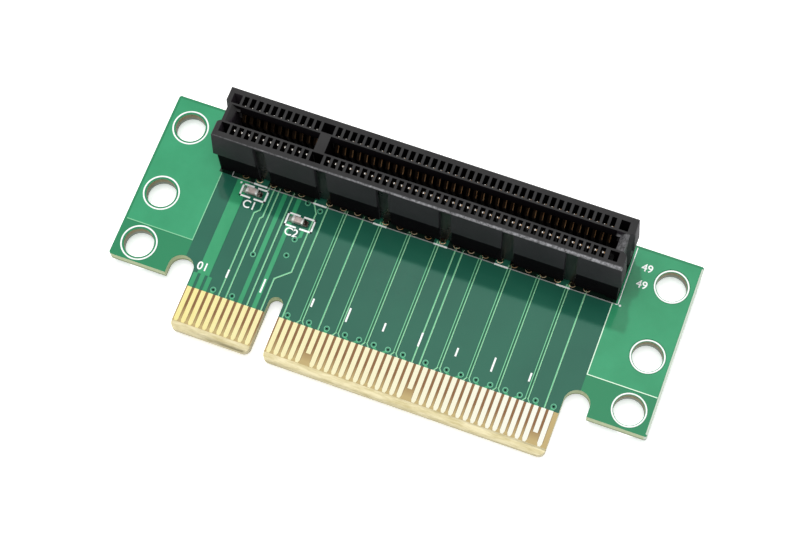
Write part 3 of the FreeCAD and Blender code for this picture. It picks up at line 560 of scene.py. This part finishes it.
def round_edges(piece, width, segments, angle=35):
    """Bevels every edge of the piece that is sharper than the angle."""
    rounding = piece.modifiers.new("rounding", "BEVEL")
    rounding.width = width * MM
    rounding.segments = segments
    rounding.limit_method = "ANGLE"
    rounding.angle_limit = math.radians(angle)
    rounding.use_clamp_overlap = True
    bpy.ops.object.modifier_apply(modifier=rounding.name)


lean = trace_finish.parts("Normal")[0]
left_shoulder = trace_finish.below(lean, -SHOULDER_LEAN)
right_shoulder = trace_finish.above(lean, SHOULDER_LEAN)
trace_green = trace_finish.mix(left_shoulder, trace_finish.colour(), SHOULDER_SHADED)
trace_green = trace_finish.mix(right_shoulder, trace_green, SHOULDER_LIT)
trace_finish.paint(trace_green)

for node, finish, rounding in (("signal_traces_front", trace_finish, 0.055),
                               ("supply_strips", strip_finish, 0.05)):
    piece = merged_copy(node)
    round_edges(piece, rounding, 1)
    piece = finish_piece(node + "_rounded", finish.material)
    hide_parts(node)

# %% [markdown]
# Most of the small pieces below are printed or plated layers, and they start alike: a flat outline is
# added, and it gets its thickness in edit mode. Pieces of one kind are joined, so that they share a name.

# %% Helpers for flat pieces


def lift_outline(thickness):
    """Gives the flat outline being edited its thickness and turns all faces outwards."""
    bpy.ops.mesh.select_all(action="SELECT")
    bpy.ops.mesh.extrude_region_move(TRANSFORM_OT_translate={"value": (0, 0, thickness * MM)})
    bpy.ops.mesh.select_all(action="SELECT")
    bpy.ops.mesh.normals_make_consistent(inside=False)


def flat_bar(x_low, y_low, x_high, y_high, bottom, thickness):
    """A flat bar with square edges that lies on the level bottom."""
    select_nothing()
    middle = Vector(((x_low + x_high) / 2, (y_low + y_high) / 2, bottom)) * MM
    bpy.ops.mesh.primitive_plane_add(size=1, location=middle)
    bar = bpy.context.object
    bar.scale = ((x_high - x_low) * MM, (y_high - y_low) * MM, 1)
    apply_place()
    mode("EDIT")
    lift_outline(thickness)
    mode("OBJECT")
    return bar


def join_pieces(pieces):
    """Joins pieces into the first one."""
    select_nothing()
    for piece in pieces:
        piece.select_set(True)
    bpy.context.view_layer.objects.active = pieces[0]
    if len(pieces) > 1:
        bpy.ops.object.join()
    return bpy.context.object


# %% [markdown]
# The two traces of a pair run close together, and the gap between them looks darker than anywhere else. A
# flat dark bar in each gap gives that dark line; it reaches a little over both traces.

# %% Mask between the traces of a pair
PAIR_PINS = (14, 19, 23, 27, 33, 37, 41, 45)
GAP_HALF = 0.12

gap_finish = masked_copper("mask_in_gap", (0.005, 0.07, 0.036), (0.008, 0.09, 0.048), 0.3)
gap_middles = [contact_x(pin) + 0.5 for pin in PAIR_PINS]
join_pieces([flat_bar(middle - GAP_HALF, FINGER_ROOT + 0.55, middle + GAP_HALF, OUTLINE_FRONT + 0.1,
                      BOARD_TOP, 0.068) for middle in gap_middles])
finish_piece("mask_between_pairs", gap_finish.material)

# %% [markdown]
# The underside carries the traces of the other contact row. They leave the fingers in pairs and end under
# the slot. The photograph does not show this side, so their places follow the usual order of such cards:
# the pairs of one direction lie between the pairs of the other.

# %% Traces of the underside
UNDER_PAIRS = (16, 21, 25, 29, 35, 39, 43, 47)
UNDER_SINGLES = (1, 5, 6, 9, 11, 14, 19, 31, 33)
TRACE_HALF = 0.1

trace_lines = [(contact_x(pin) + aside, SLOT_MIDDLE - 2.2) for pin in UNDER_PAIRS for aside in (0.35, 0.65)]
trace_lines += [(contact_x(pin), SLOT_MIDDLE - 4.0) for pin in UNDER_SINGLES]
under_finish = masked_copper("mask_over_back_trace", (0.15, 0.50, 0.27), (0.25, 0.64, 0.37), 0.35)
join_pieces([flat_bar(trace_x - TRACE_HALF, FINGER_ROOT, trace_x + TRACE_HALF, trace_end,
                      BOARD_UNDER - 0.05, 0.05) for trace_x, trace_end in trace_lines])
round_edges(bpy.context.object, 0.03, 1)
finish_piece("traces_underside", under_finish.material)

# %% [markdown]
# A copper area ends in a bright line, where the mask runs thin over the copper's edge; the line is also a
# painted highlight of the light from behind, on the two edges that face the camera: the front one and the one
# beside the traces. On the right half of the card the line is painted brighter still, as a painted highlight.

# %% Bright edges of the copper areas
COPPER_TOP = BOARD_TOP + 0.06
LINE_LIFT = 0.012
EDGE_LINE = 0.13
EDGE_HIGHLIGHT = (0.72, 0.93, 0.74)

edge_finish = masked_copper("mask_over_copper_edge", (0.18, 0.50, 0.28), (0.26, 0.62, 0.37), 0.4)
right_half = edge_finish.above(edge_finish.parts()[0], 0.0)
# Painted highlight: on the right half of the card the edge lines are painted near white.
edge_finish.paint(edge_finish.mix(right_half, edge_finish.colour(), EDGE_HIGHLIGHT))
for side in ("left", "right"):
    low, high = [Vector(corner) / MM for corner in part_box("copper_pour_" + side)]
    inner = high.x - EDGE_LINE if side == "left" else low.x
    join_pieces([
        flat_bar(low.x, low.y, high.x, low.y + EDGE_LINE, COPPER_TOP, LINE_LIFT),
        flat_bar(inner, low.y + EDGE_LINE, inner + EDGE_LINE, OUTLINE_FRONT, COPPER_TOP, LINE_LIFT)])
    finish_piece("copper_edge_" + side, edge_finish.material)

# %% [markdown]
# ## Gold fingers
# The fingers are gold over nickel. The gold is thin and satin, warm in the shade; towards the last finger its
# colour is painted almost white, as a painted reflection of the bright room. Fine rubbing marks run towards
# the card edge, the way a card slides into its slot. The rims of the fingers look brown. Fingers and contacts
# lie one pitch apart, so one repeating distance finds the middle of each.

# %% Finish of the fingers
GOLD_DEEP = (0.96, 0.82, 0.31)
GOLD_LIGHT = (1.0, 0.93, 0.43)
GOLD_PAINTED_SHEEN = (1.0, 1.0, 0.90)
RIM_BROWN = (0.28, 0.165, 0.075)
RIM_START = 0.315


def contact_beat(finish):
    """Runs from 0 to 1 over each pitch of the contacts, and is 0.5 in the middle of a contact."""
    along = finish.maths("DIVIDE", finish.parts()[0], MM)
    return finish.maths("FRACT", finish.minus(along, FIRST_CONTACT - 40.5))


gold = Finish("plated_gold")
gold.set(Metallic=1.0)
rubbed = gold.noise(900.0, detail=5.0, stretch=(6, 1, 1))
gold_tone = gold.ramp(rubbed, [(0.25, GOLD_DEEP), (0.7, GOLD_LIGHT)])
# Painted reflection: the gold is painted whiter towards the last finger.
sheen_towards_last = gold.spread(gold.parts()[0], 0.0, 1.0, FIRST_CONTACT * MM, contact_x(PIN_COUNT) * MM)
gold_tone = gold.mix(sheen_towards_last, gold_tone, GOLD_PAINTED_SHEEN)
rim = gold.above(gold.size(gold.minus(contact_beat(gold), 0.5)), RIM_START)
gold.paint(gold.mix(rim, gold_tone, RIM_BROWN))
gold.to_shader(gold.spread(rubbed, 0.24, 0.42), "Roughness")
gold.bump(rubbed, 0.000004, 0.3)
dress("edge_fingers_front", gold)
dress("edge_fingers_back", gold)

# %% [markdown]
# ## Card slot
# The slot is one black moulding of glass filled plastic. It is finely grained, with blotches where it cooled
# unevenly. The panels are rough. The recessed bays are smoother, and their colour is painted darker as
# painted shade. The hollows are painted near black as painted shade. So the slot gets three finishes that
# start alike.

# %% Finishes of the slot
TOP_TONES = [(0.3, (0.0245, 0.024, 0.0245)), (0.75, (0.037, 0.0365, 0.037))]
SIDE_TONES = [(0.3, (0.0235, 0.0190, 0.0240)), (0.75, (0.034, 0.0280, 0.0350))]


def moulding(name, roughness, shine):
    """Black plastic with a slightly different tone on its top and on its sides."""
    finish = Finish(name)
    finish.set(IOR=1.45, Specular_IOR_Level=shine)
    blotches = finish.noise(260.0, detail=3.0)
    on_top = finish.above(finish.parts("Normal")[2], 0.5)
    tone = finish.mix(on_top, finish.ramp(blotches, SIDE_TONES), finish.ramp(blotches, TOP_TONES))
    finish.paint(tone)
    finish.to_shader(finish.spread(blotches, roughness - 0.06, roughness + 0.06), "Roughness")
    finish.bump(finish.noise(1900.0, detail=5.0, roughness=0.7), 0.00002, 0.7)
    return finish


plastic = moulding("black_moulding", 0.62, 0.22)
smooth_shaded_plastic = moulding("smooth_shaded_moulding", 0.28, 0.22)
hollow_shaded_plastic = moulding("hollow_shaded_moulding", 0.8, 0.02)
# Painted shade: the bay finish is mixed towards near black, and the hollow finish towards black.
for finish, dark in ((smooth_shaded_plastic, (0.004, 0.006, 0.005)), (hollow_shaded_plastic, (0.0, 0.0, 0.0))):
    finish.paint(finish.mix(0.85, finish.colour(), dark))

# %% [markdown]
# The front edge of the top is painted lighter, as a painted highlight of a lit edge, and more so towards the
# last contact. Cards rub the far end of the groove near the last contact and leave it worn grey. Both are
# found as a distance from their edge, and fine noise breaks them up into patches.

# %% Worn and lit edges of the slot
END_WEAR = 0.07
EDGE_BAND_DEPTH = 0.2
WORN_AND_LIT_GREY = (0.42, 0.42, 0.44)
SLOT_FRONT = slot_low[1] / MM + 0.15

px, py, pz = [plastic.maths("DIVIDE", part, MM) for part in plastic.parts()]
from_top = plastic.minus(SLOT_TOP, pz)
from_edge = plastic.maths("MAXIMUM", plastic.minus(py, SLOT_FRONT), from_top)
front_edge_highlight = plastic.minus(plastic.spread(px, 0.14, 0.46, -30.0, 30.0), from_edge)
end_wear = plastic.minus(px, contact_x(PIN_COUNT) + 0.9)
beside_groove = plastic.minus(1.25, plastic.size(plastic.minus(py, SLOT_MIDDLE)))
for limit in (beside_groove, plastic.minus(1.0, from_top), END_WEAR):
    end_wear = plastic.maths("MINIMUM", end_wear, limit)
wear_and_highlight = plastic.spread(plastic.maths("MAXIMUM", front_edge_highlight, end_wear), 0.0, 1.0, 0.0, EDGE_BAND_DEPTH)
patchiness = plastic.spread(plastic.noise(2300.0, detail=7.0, roughness=0.8), 0.0, 1.0, 0.36, 0.66)
# The painted highlight on the front edge and the real worn patch at the groove's far end share one grey.
plastic.paint(plastic.mix(plastic.times(wear_and_highlight, patchiness), plastic.colour(), WORN_AND_LIT_GREY))
print("worn edge at", round(SLOT_FRONT, 2))

# %% [markdown]
# A moulding has no knife-sharp edges, so a plain CAD mesh would look too crisp. The piece is a merged copy
# with a small bevel round every sharp edge. Each face then gets one of the three finishes by its place: the
# bay floors the smooth one, and the lower body under the panels and the walls of the cavities and groove the
# near-black one, as painted shade.

# %% Slot with rounded edges
ROUNDING = 0.05
LEDGE = BOARD_TOP + 5.4
SMOOTH, IN_SHADE = 1, 2


def inside_slot(face):
    """True for the upright walls of the cavities and of the groove between its two ends."""
    x, y, z = face.center / MM
    out = abs(y - SLOT_MIDDLE)
    in_cavity = 1.4 < out < 2.9 and abs(x) < 26.5
    in_groove = out < 1.4 and contact_x(1) - 0.8 < x < contact_x(PIN_COUNT) + 0.8
    return (in_cavity or in_groove) and z < SLOT_TOP - 0.06 and abs(face.normal.z) < 0.5


slot_body = merged_copy("slot_housing")
round_edges(slot_body, ROUNDING, 2)
smooth_by_angle(30)
slot_body = finish_piece("slot_body", plastic.material)
slot_body.data.materials.append(smooth_shaded_plastic.material)
slot_body.data.materials.append(hollow_shaded_plastic.material)
for face in slot_body.data.polygons:
    out = abs(face.center.y / MM - SLOT_MIDDLE)
    if 3.05 < out < 3.15 and abs(face.normal.y) > 0.9:
        face.material_index = SMOOTH
    elif out > 3.15 and face.center.z / MM < LEDGE + 0.01:
        face.material_index = IN_SHADE
    elif inside_slot(face):
        face.material_index = IN_SHADE
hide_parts("slot_housing")

# %% [markdown]
# ## Spring contacts
# Each contact is a bent strip of bronze. Down in the slot it looks copper brown; its tip is plated, and its
# glint is painted as a bright white spot in its opening. Light reaches only one edge of each strip down
# there, so the finish is painted dull, with a painted bronze highlight line along that edge. The line ends at
# the nose of the spring, below which no light falls, and it fades out towards the first contact.

# %% Finish of the contacts
TIP_BAND = SLOT_TOP - 1.2
NOSE = SLOT_TOP - 3.1
DOT_HALF = 0.06
LINE_ASIDE = 0.13
TIP_GLINT = (1.0, 0.98, 0.92)

bronze = Finish("bronze_strip")
bronze.set(Metallic=0.6, Roughness=0.4)
strip_x, strip_y, strip_height = bronze.parts()
tarnish = bronze.noise(800.0, detail=4.0)
warm = bronze.ramp(tarnish, [(0.3, (0.34, 0.18, 0.08)), (0.7, (0.78, 0.48, 0.25))])
dull = bronze.ramp(tarnish, [(0.3, (0.016, 0.011, 0.007)), (0.7, (0.04, 0.024, 0.013))])
from_strip = bronze.minus(contact_beat(bronze), 0.5)
lit_edge = bronze.times(bronze.above(from_strip, LINE_ASIDE), bronze.above(strip_height, NOSE * MM))
lit_edge = bronze.times(lit_edge, bronze.spread(strip_x, 0.15, 1.0, -20.0 * MM, -8.0 * MM))
dot = bronze.times(bronze.below(bronze.size(from_strip), DOT_HALF),
                   bronze.above(strip_height, TIP_BAND * MM))
bronze.paint(bronze.mix(dot, bronze.mix(lit_edge, dull, warm), TIP_GLINT))
for contact_group in ("front_outer", "front_inner", "back_outer", "back_inner"):
    dress("slot_contacts_" + contact_group, bronze)

# %% [markdown]
# ## Solder on the underside
# Every contact goes through the board and ends in a small cone of solder, with the tail's tip in its
# middle. The CAD model has plain pyramids there. One rounded joint is drawn here, by pulling a ring of
# points up in steps and drawing it in each time, and it is then copied to every tail.

# %% One solder joint
JOINT_SIDES = 12
# radius and height above the tip, from the board to the tip
JOINT_PROFILE = ((0.55, 1.25), (0.50, 1.13), (0.33, 0.95), (0.24, 0.66), (0.20, 0.20), (0.12, 0.02))


def flat_disc(x, y, radius, bottom, sides):
    """A flat round outline on the level bottom, left in edit mode with its face selected."""
    select_nothing()
    bpy.ops.mesh.primitive_circle_add(vertices=sides, radius=radius * MM, fill_type="NGON",
                                      location=Vector((x, y, bottom)) * MM)
    apply_place()
    mode("EDIT")
    bpy.ops.mesh.select_mode(type="FACE")
    bpy.ops.mesh.select_all(action="SELECT")


def solder_joint():
    """One joint at x 0, y 0, seated on the underside of the board."""
    radius, height = JOINT_PROFILE[0]
    flat_disc(0, 0, radius, height, JOINT_SIDES)
    for next_radius, next_height in JOINT_PROFILE[1:]:
        bpy.ops.mesh.extrude_region_move(
            TRANSFORM_OT_translate={"value": (0, 0, (next_height - height) * MM)})
        shrink = next_radius / radius
        bpy.ops.transform.resize(value=(shrink, shrink, 1), center_override=(0, 0, 0))
        radius, height = next_radius, next_height
    bpy.ops.mesh.select_all(action="SELECT")
    bpy.ops.mesh.normals_make_consistent(inside=False)
    mode("OBJECT")
    smooth_by_angle(60)
    return bpy.context.object


one_joint = solder_joint()
print("one joint has", len(one_joint.data.polygons), "faces")

# %% [markdown]
# The tails of a contact row stand two pitches apart, in an outer and an inner line on each side of the
# slot. The tin is bright with frosty patches.

# %% Solder joints
ROW_STEPS = {"front_outer": (-3.25, 0), "front_inner": (-1.25, 1),
             "back_outer": (3.25, 1), "back_inner": (1.25, 0)}


def tail_places(row):
    """Places of the tails of one row, each under every second contact."""
    step, odd = ROW_STEPS[row]
    pins = [pin for pin in range(1, PIN_COUNT + 1) if pin % 2 == odd]
    return [(contact_x(pin), SLOT_MIDDLE + step, 0) for pin in pins]


def copies_at(model, places):
    """Copies of one piece, each with its own mesh, moved by the given steps."""
    copies = []
    for step in places:
        copy = model.copy()
        copy.data = model.data.copy()
        copy.data.transform(Matrix.Translation(Vector(step) * MM))
        bpy.context.collection.objects.link(copy)
        copies.append(copy)
    return copies


tin = Finish("bright_solder")
tin.set(Metallic=1.0)
frost = tin.noise(1300.0, detail=4.0)
tin.paint(tin.ramp(frost, [(0.3, (0.56, 0.56, 0.57)), (0.7, (0.82, 0.82, 0.82))]))
tin.to_shader(tin.spread(frost, 0.22, 0.45), "Roughness")
tin.bump(frost, 0.00002, 0.4)
for row in ROW_STEPS:
    join_pieces(copies_at(one_joint, tail_places(row)))
    joints = finish_piece("solder_joints_" + row, tin.material)
    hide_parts("solder_" + row)
bpy.data.objects.remove(one_joint)

# %% [markdown]
# On the upper face, a thin plated ring lies round each tail of the outer rows. From the front only its near
# half catches light, as a small bronze arc in the dark under the slot. It is a flat washer whose top is
# inset and lifted, so that it has a rounded crown to catch that light.

# %% Plated rings under the slot's edges
RING_OUTER = 0.5
RING_BAND = 0.12


def flat_ring(x, y, outer, inner, bottom, thickness, sides=64):
    """A flat ring: a disc whose inset middle is taken out before it gets its thickness."""
    flat_disc(x, y, outer, bottom, sides)
    bpy.ops.mesh.inset(thickness=(outer - inner) * MM, depth=0)
    bpy.ops.mesh.delete(type="FACE")
    lift_outline(thickness)
    mode("OBJECT")
    return bpy.context.object


def select_top():
    """Selects the faces of the active piece that look up, in edit mode."""
    mode("OBJECT")
    for face in bpy.context.object.data.polygons:
        face.select = face.normal.z > 0.9
    mode("EDIT")


def plated_ring():
    """One ring at x 0, y 0 on the upper face, with a rounded crown."""
    flat_ring(0, 0, RING_OUTER, RING_OUTER - RING_BAND, BOARD_TOP, 0.035, sides=20)
    select_top()
    bpy.ops.mesh.inset(thickness=0.055 * MM, depth=0.05 * MM)
    mode("OBJECT")
    smooth_by_angle(60)
    return bpy.context.object


ring_finish = Finish("plated_ring")
ring_finish.set(Metallic=1.0, Roughness=0.2)
ring_tone = ring_finish.noise(420.0, detail=3.0)
ring_colour = ring_finish.ramp(ring_tone, [(0.35, (0.50, 0.25, 0.09)), (0.6, (1.0, 0.80, 0.54))])
# Painted shade: under the slot's panels, outside the bays, the ring colour is mixed towards near black.
ring_finish.paint(ring_finish.mix(under_slot(ring_finish, share=0.6), ring_colour, (0.02, 0.01, 0.004)))
one_ring = plated_ring()
for row in ("front_outer", "back_outer"):
    join_pieces(copies_at(one_ring, tail_places(row)))
    finish_piece("plated_rings_" + row, ring_finish.material)
bpy.data.objects.remove(one_ring)

# %% [markdown]
# ## Chip capacitors
# A chip capacitor is a fired ceramic block with a plated cap on each end, and solder runs up the caps. The
# ceramic is a dull pinkish grey. The caps mirror the bright room a little, and their colour is painted near
# white as a painted reflection. The solder beyond them is mottled: painted grey on the lit side, and on the
# side away from the light painted dark brown as painted shade, with a few painted glints.

# %% Finishes of the capacitors
ceramic = Finish("fired_ceramic")
ceramic.set(Roughness=0.5)
speckle = ceramic.noise(1800.0, detail=4.0)
block_tone = ceramic.ramp(speckle, [(0.3, (0.40, 0.33, 0.305)), (0.7, (0.60, 0.52, 0.485))])
ceramic.paint(block_tone)

plating = Finish("cap_plating")
plating.set(Metallic=0.45, Roughness=0.35)
smudges = plating.noise(1600.0, detail=4.0)
cap_tone = plating.ramp(smudges, [(0.35, (0.55, 0.53, 0.50)), (0.6, (0.97, 0.97, 0.95))])
# Painted reflection: the caps' colour runs up to near white.
plating.paint(cap_tone)


def fillet_finish(name, middle):
    """Solder of one capacitor, painted grey as lit before the given place along the board, and painted dark
    brown as shade, with painted glints, after it.
    """
    finish = Finish(name)
    finish.set(Metallic=0.5, Roughness=0.35)
    mottle = finish.noise(2400.0, detail=5.0, roughness=0.7)
    grey = finish.ramp(mottle, [(0.35, (0.10, 0.16, 0.12)), (0.6, (0.50, 0.56, 0.49))])
    brown = finish.ramp(mottle, [(0.5, (0.03, 0.014, 0.01)), (0.66, (0.42, 0.38, 0.34))])
    finish.paint(finish.mix(finish.above(finish.parts()[0], middle), grey, brown))
    return finish


# %% [markdown]
# The caps are rounded by their dipping, so copies of the CAD nodes get a generous bevel. The block and its
# solder get a smaller one.

# %% Capacitors
for chip in ("near", "far"):
    chip_low, chip_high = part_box("capacitor_%s_body" % chip)
    fillet = fillet_finish("chip_solder_" + chip, (chip_low[0] + chip_high[0]) / 2)
    chip_parts = (("body", ceramic, "ceramic", 0.03, 2), ("ends", plating, "solder", 0.07, 3),
                  ("solder", fillet, "solder", 0.035, 2))
    for part_name, finish, slot_name, rounding, segments in chip_parts:
        node = "capacitor_%s_%s" % (chip, part_name)
        piece = merged_copy(node)
        round_edges(piece, rounding, segments)
        smooth_by_angle(40)
        piece = finish_piece(node + "_rounded", finish.material)
        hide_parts(node)

# %% [markdown]
# ## Vias
# A via is a small plated hole that joins two copper layers. Under the mask it shows as a green ring round a
# darker land with a black hole in it. One via is a disc whose top is inset twice and then sunk a little.

# %% One via
VIA_RADIUS = 0.38
VIA_LAND = 0.30
VIA_HOLE = 0.2


def via():
    """One via at x 0, y 0 on the upper face."""
    flat_disc(0, 0, VIA_RADIUS, BOARD_TOP, 20)
    lift_outline(0.075)
    select_top()
    for width, depth in ((VIA_RADIUS - VIA_LAND, 0), (VIA_LAND - VIA_HOLE, 0), (0.02, -0.012)):
        bpy.ops.mesh.inset(thickness=width * MM, depth=depth * MM)
    mode("OBJECT")
    smooth_by_angle(40)
    return bpy.context.object


one_via = via()
print("one via has", len(one_via.data.polygons), "faces")

# %% [markdown]
# The copies stand where the photographed traces end or change layers. Many lie in a row behind the
# fingers, a little aside of them; a few stand loose on the board. The three tones are then given to the
# faces by their distance from the middle of their via.

# %% Vias
# for each finger with a via, how far it stands aside, in millimetres
FINGER_VIAS = {4: 0.07, 7: -0.27, 13: -0.44, 16: -0.44, 18: 0.05, 21: -0.44, 22: 0.53, 25: -0.44, 26: 0.53,
               29: -0.42, 32: -0.3, 35: -0.42, 36: 0.53, 39: -0.42, 40: 0.53, 43: -0.42, 44: 0.53,
               47: -0.33, 49: 0.1}
FINGER_VIA_ROW = FINGER_ROOT + 0.6
# places on the board, along and across, in millimetres
LOOSE_VIAS = ((-19.13, -2.62), (-14.93, -1.27), (-14.73, 1.18), (-14.98, 6.63), (-13.03, 6.08))
HOLE, LAND = 1, 2

via_finish = masked_copper("mask_over_via", (0.12, 0.47, 0.27), (0.19, 0.57, 0.34), 0.25)
via_land = masked_copper("mask_inside_via", (0.014, 0.135, 0.078), (0.022, 0.17, 0.10), 0.25)
# Painted shade: the hole is only sunk a little, and its near-black colour stands in for the shade in its
# depth.
via_hole = Finish("via_hole")
via_hole.set(Roughness=0.6, Specular_IOR_Level=0.1)
hole_tone = via_hole.ramp(via_hole.noise(900.0), [(0.3, (0.0, 0.008, 0.005)), (0.7, (0.002, 0.02, 0.013))])
via_hole.paint(hole_tone)

via_places = [(contact_x(pin) + aside, FINGER_VIA_ROW, 0) for pin, aside in FINGER_VIAS.items()]
via_places += [(place_x, place_y, 0) for place_x, place_y in LOOSE_VIAS]
join_pieces(copies_at(one_via, via_places))
vias = finish_piece("vias", via_finish.material)
vias.data.materials.append(via_hole.material)
vias.data.materials.append(via_land.material)
for face in vias.data.polygons:
    if face.normal.z > 0.9:
        x, y, z = face.center / MM
        from_via = min(math.hypot(x - place[0], y - place[1]) for place in via_places)
        if from_via < VIA_HOLE - 0.05:
            face.material_index = HOLE
        elif from_via < VIA_LAND:
            face.material_index = LAND
bpy.data.objects.remove(one_via)

# %% [markdown]
# A via beside a finger has a tail that meets it like a drop. It is a flat bar whose far end is moved and
# widened in edit mode until it meets the ring.

# %% Tails of the vias


def tail(start, start_half, end, end_half):
    """Flat copper that widens from one place to another, further back on the board."""
    far_end = flat_bar(start[0] - start_half, start[1], start[0] + start_half, end[1], BOARD_TOP, 0.05)
    mode("EDIT")
    bpy.ops.mesh.select_mode(type="VERT")
    bpy.ops.mesh.select_all(action="DESELECT")
    mode("OBJECT")
    for corner in far_end.data.vertices:
        corner.select = abs(corner.co.y - end[1] * MM) < 0.001 * MM
    mode("EDIT")
    bpy.ops.transform.translate(value=((end[0] - start[0]) * MM, 0, 0))
    bpy.ops.transform.resize(value=(end_half / start_half, 1, 1),
                             center_override=(end[0] * MM, end[1] * MM, BOARD_TOP * MM))
    mode("OBJECT")
    return far_end


tails = [tail((contact_x(pin), FINGER_ROOT), 0.22, (contact_x(pin) + aside, FINGER_VIA_ROW - 0.21), 0.31)
         for pin, aside in FINGER_VIAS.items()]
tails.append(flat_bar(-14.42, 1.75, -13.96, 3.0, BOARD_TOP, 0.05))
tails.append(tail((-14.69, 1.39), 0.2, (-14.19, 1.75), 0.23))
join_pieces(tails)
finish_piece("via_tails", strip_finish.material)

# %% [markdown]
# ## Printed lines
# White ink marks the slot's outline, every fifth contact, the capacitors and the mounting holes. Ink is a
# thin film that rides over the traces, so each line is a bar slightly thicker than the copper. Its finish is
# an uneven, slightly chalky white. The long line just in front of the slot is painted dull as painted shade,
# and where a bay lets light down a bar of plain white ink, twice as wide, lies over it as painted light.

# %% Outline of the slot
INK_LIFT = 0.075
INK_WHITE = (0.97, 0.98, 0.97)
OUTLINE_HALF = 0.06
OUTLINE_LEFT = -26.0
OUTLINE_RIGHT = 28.2

ink = Finish("white_ink")
ink.set(Roughness=0.65)
white = ink.ramp(ink.noise(1100.0, detail=5.0), [(0.28, (0.78, 0.86, 0.80)), (0.5, INK_WHITE)])
ink.paint(white)
shaded_ink = Finish("white_ink_in_shade")
shaded_ink.set(Roughness=0.65)
ink_shade = under_slot(shaded_ink, share=0.75, half_width=4.3)
shaded_ink.paint(shaded_ink.mix(ink_shade, INK_WHITE, (0.1, 0.105, 0.1)))


def ink_bars(name, bars, finish=ink, lift=INK_LIFT):
    join_pieces([flat_bar(*bar, BOARD_TOP, lift) for bar in bars])
    finish_piece(name, finish.material)


low_y = OUTLINE_FRONT - OUTLINE_HALF
ink_bars("printed_slot_outline", [
    (OUTLINE_LEFT, low_y, OUTLINE_RIGHT, OUTLINE_FRONT + OUTLINE_HALF),
    (OUTLINE_LEFT - OUTLINE_HALF, low_y, OUTLINE_LEFT + OUTLINE_HALF, OUTLINE_FRONT + 1.2),
    (OUTLINE_RIGHT - OUTLINE_HALF, low_y, OUTLINE_RIGHT + OUTLINE_HALF, BACK_EDGE - 0.3)], shaded_ink)
# Painted light: bars of plain white ink over the line where a bay lets light down.
bay_middles = [(count - 2.5) * BAY_PITCH + BAY_LIGHT_STEP for count in range(6)]
ink_bars("printed_outline_lit_bays", [(middle - BAY_HALF, OUTLINE_FRONT - 0.11, middle + BAY_HALF,
                                   OUTLINE_FRONT + 0.11) for middle in bay_middles], lift=INK_LIFT + 0.01)

# %% [markdown]
# A short tick marks every fifth contact and a longer one every tenth, so that a worker can count them. A
# box of four lines shows where each capacitor goes.

# %% Ticks and boxes
LINE = 0.24
TICK_ROW = FINGER_ROOT + 3.3

ticks = []
for pin in range(5, PIN_COUNT, 5):
    reach = 1.0 if pin % 10 == 0 else 0.6
    ticks.append((contact_x(pin) - LINE / 2, TICK_ROW - reach, contact_x(pin) + LINE / 2, TICK_ROW + reach))
ink_bars("printed_ticks", ticks)


def chip_box(x_low, x_high, y_low, y_high, opening=0.5):
    """Four lines round a capacitor, open in the middle of the two long sides."""
    middle = (x_low + x_high) / 2
    bars = [(x_low, y_low, x_low + LINE, y_high), (x_high - LINE, y_low, x_high, y_high)]
    for edge in (y_low, y_high - LINE):
        bars.append((x_low, edge, middle - opening / 2, edge + LINE))
        bars.append((middle + opening / 2, edge, x_high, edge + LINE))
    return bars


ink_bars("printed_chip_box_near", chip_box(-24.15, -20.41, 4.63, 6.51))
ink_bars("printed_chip_box_far", chip_box(-16.93, -12.98, 2.68, 4.68))

# %% [markdown]
# Two small dots stand at the corner of a capacitor's box and at the right corner of the slot's outline.

# %% Printed dots
DOT_RADIUS = 0.15

dots = []
for dot_x, dot_y in ((-24.47, 6.46), (28.5, 6.85)):
    flat_disc(dot_x, dot_y, DOT_RADIUS, BOARD_TOP, 16)
    lift_outline(INK_LIFT)
    mode("OBJECT")
    dots.append(bpy.context.object)
join_pieces(dots)
finish_piece("printed_dots", ink.material)

# %% [markdown]
# A ring of ink lies round each mounting hole and keeps the space of the screw's head free. The rings of the
# two wings differ a little, as in the photograph.

# %% Printed rings
HOLE_X = 34.0
HOLE_ROWS = (BACK_EDGE - 4.05, BACK_EDGE - 14.21, BACK_EDGE - 21.83)
RING_SIZES = {-1: (2.48, 2.28), 1: (2.31, 2.12)}

rings = []
for side, (outer, inner) in RING_SIZES.items():
    for row in HOLE_ROWS:
        rings.append(flat_ring(side * HOLE_X, row, outer, inner, BOARD_TOP, INK_LIFT))
join_pieces(rings)
finish_piece("printed_hole_rings", ink.material)

# %% [markdown]
# Labels are plain numbers: the first and last contact, and a number for each capacitor. Blender's own font
# is close to the stroke lettering of circuit boards. The text is turned into a mesh before its place is
# applied.

# %% Printed numbers
STROKE_SPREAD = 0.02
FONT_FACTOR = 1.38
LABELS = (("01", -24.7, -6.5, 1.15), ("49", 30.25, 12.95, 1.1), ("49", 30.25, 10.55, 1.1),
          ("C1", -22.25, 3.75, 1.15), ("C2", -15.55, 1.95, 1.15))


def printed_text(words, x, y, height):
    """Raised text whose middle is at x and y."""
    select_nothing()
    bpy.ops.object.text_add(location=Vector((x, y, BOARD_TOP)) * MM)
    label = bpy.context.object
    label.data.body = words
    label.data.size = height * FONT_FACTOR * MM
    label.data.extrude = INK_LIFT * MM
    label.data.offset = STROKE_SPREAD * MM
    label.data.align_x = "CENTER"
    label.data.align_y = "CENTER"
    bpy.ops.object.convert(target="MESH")
    apply_place()
    return bpy.context.object


join_pieces([printed_text(*label) for label in LABELS])
finish_piece("printed_numbers", ink.material)
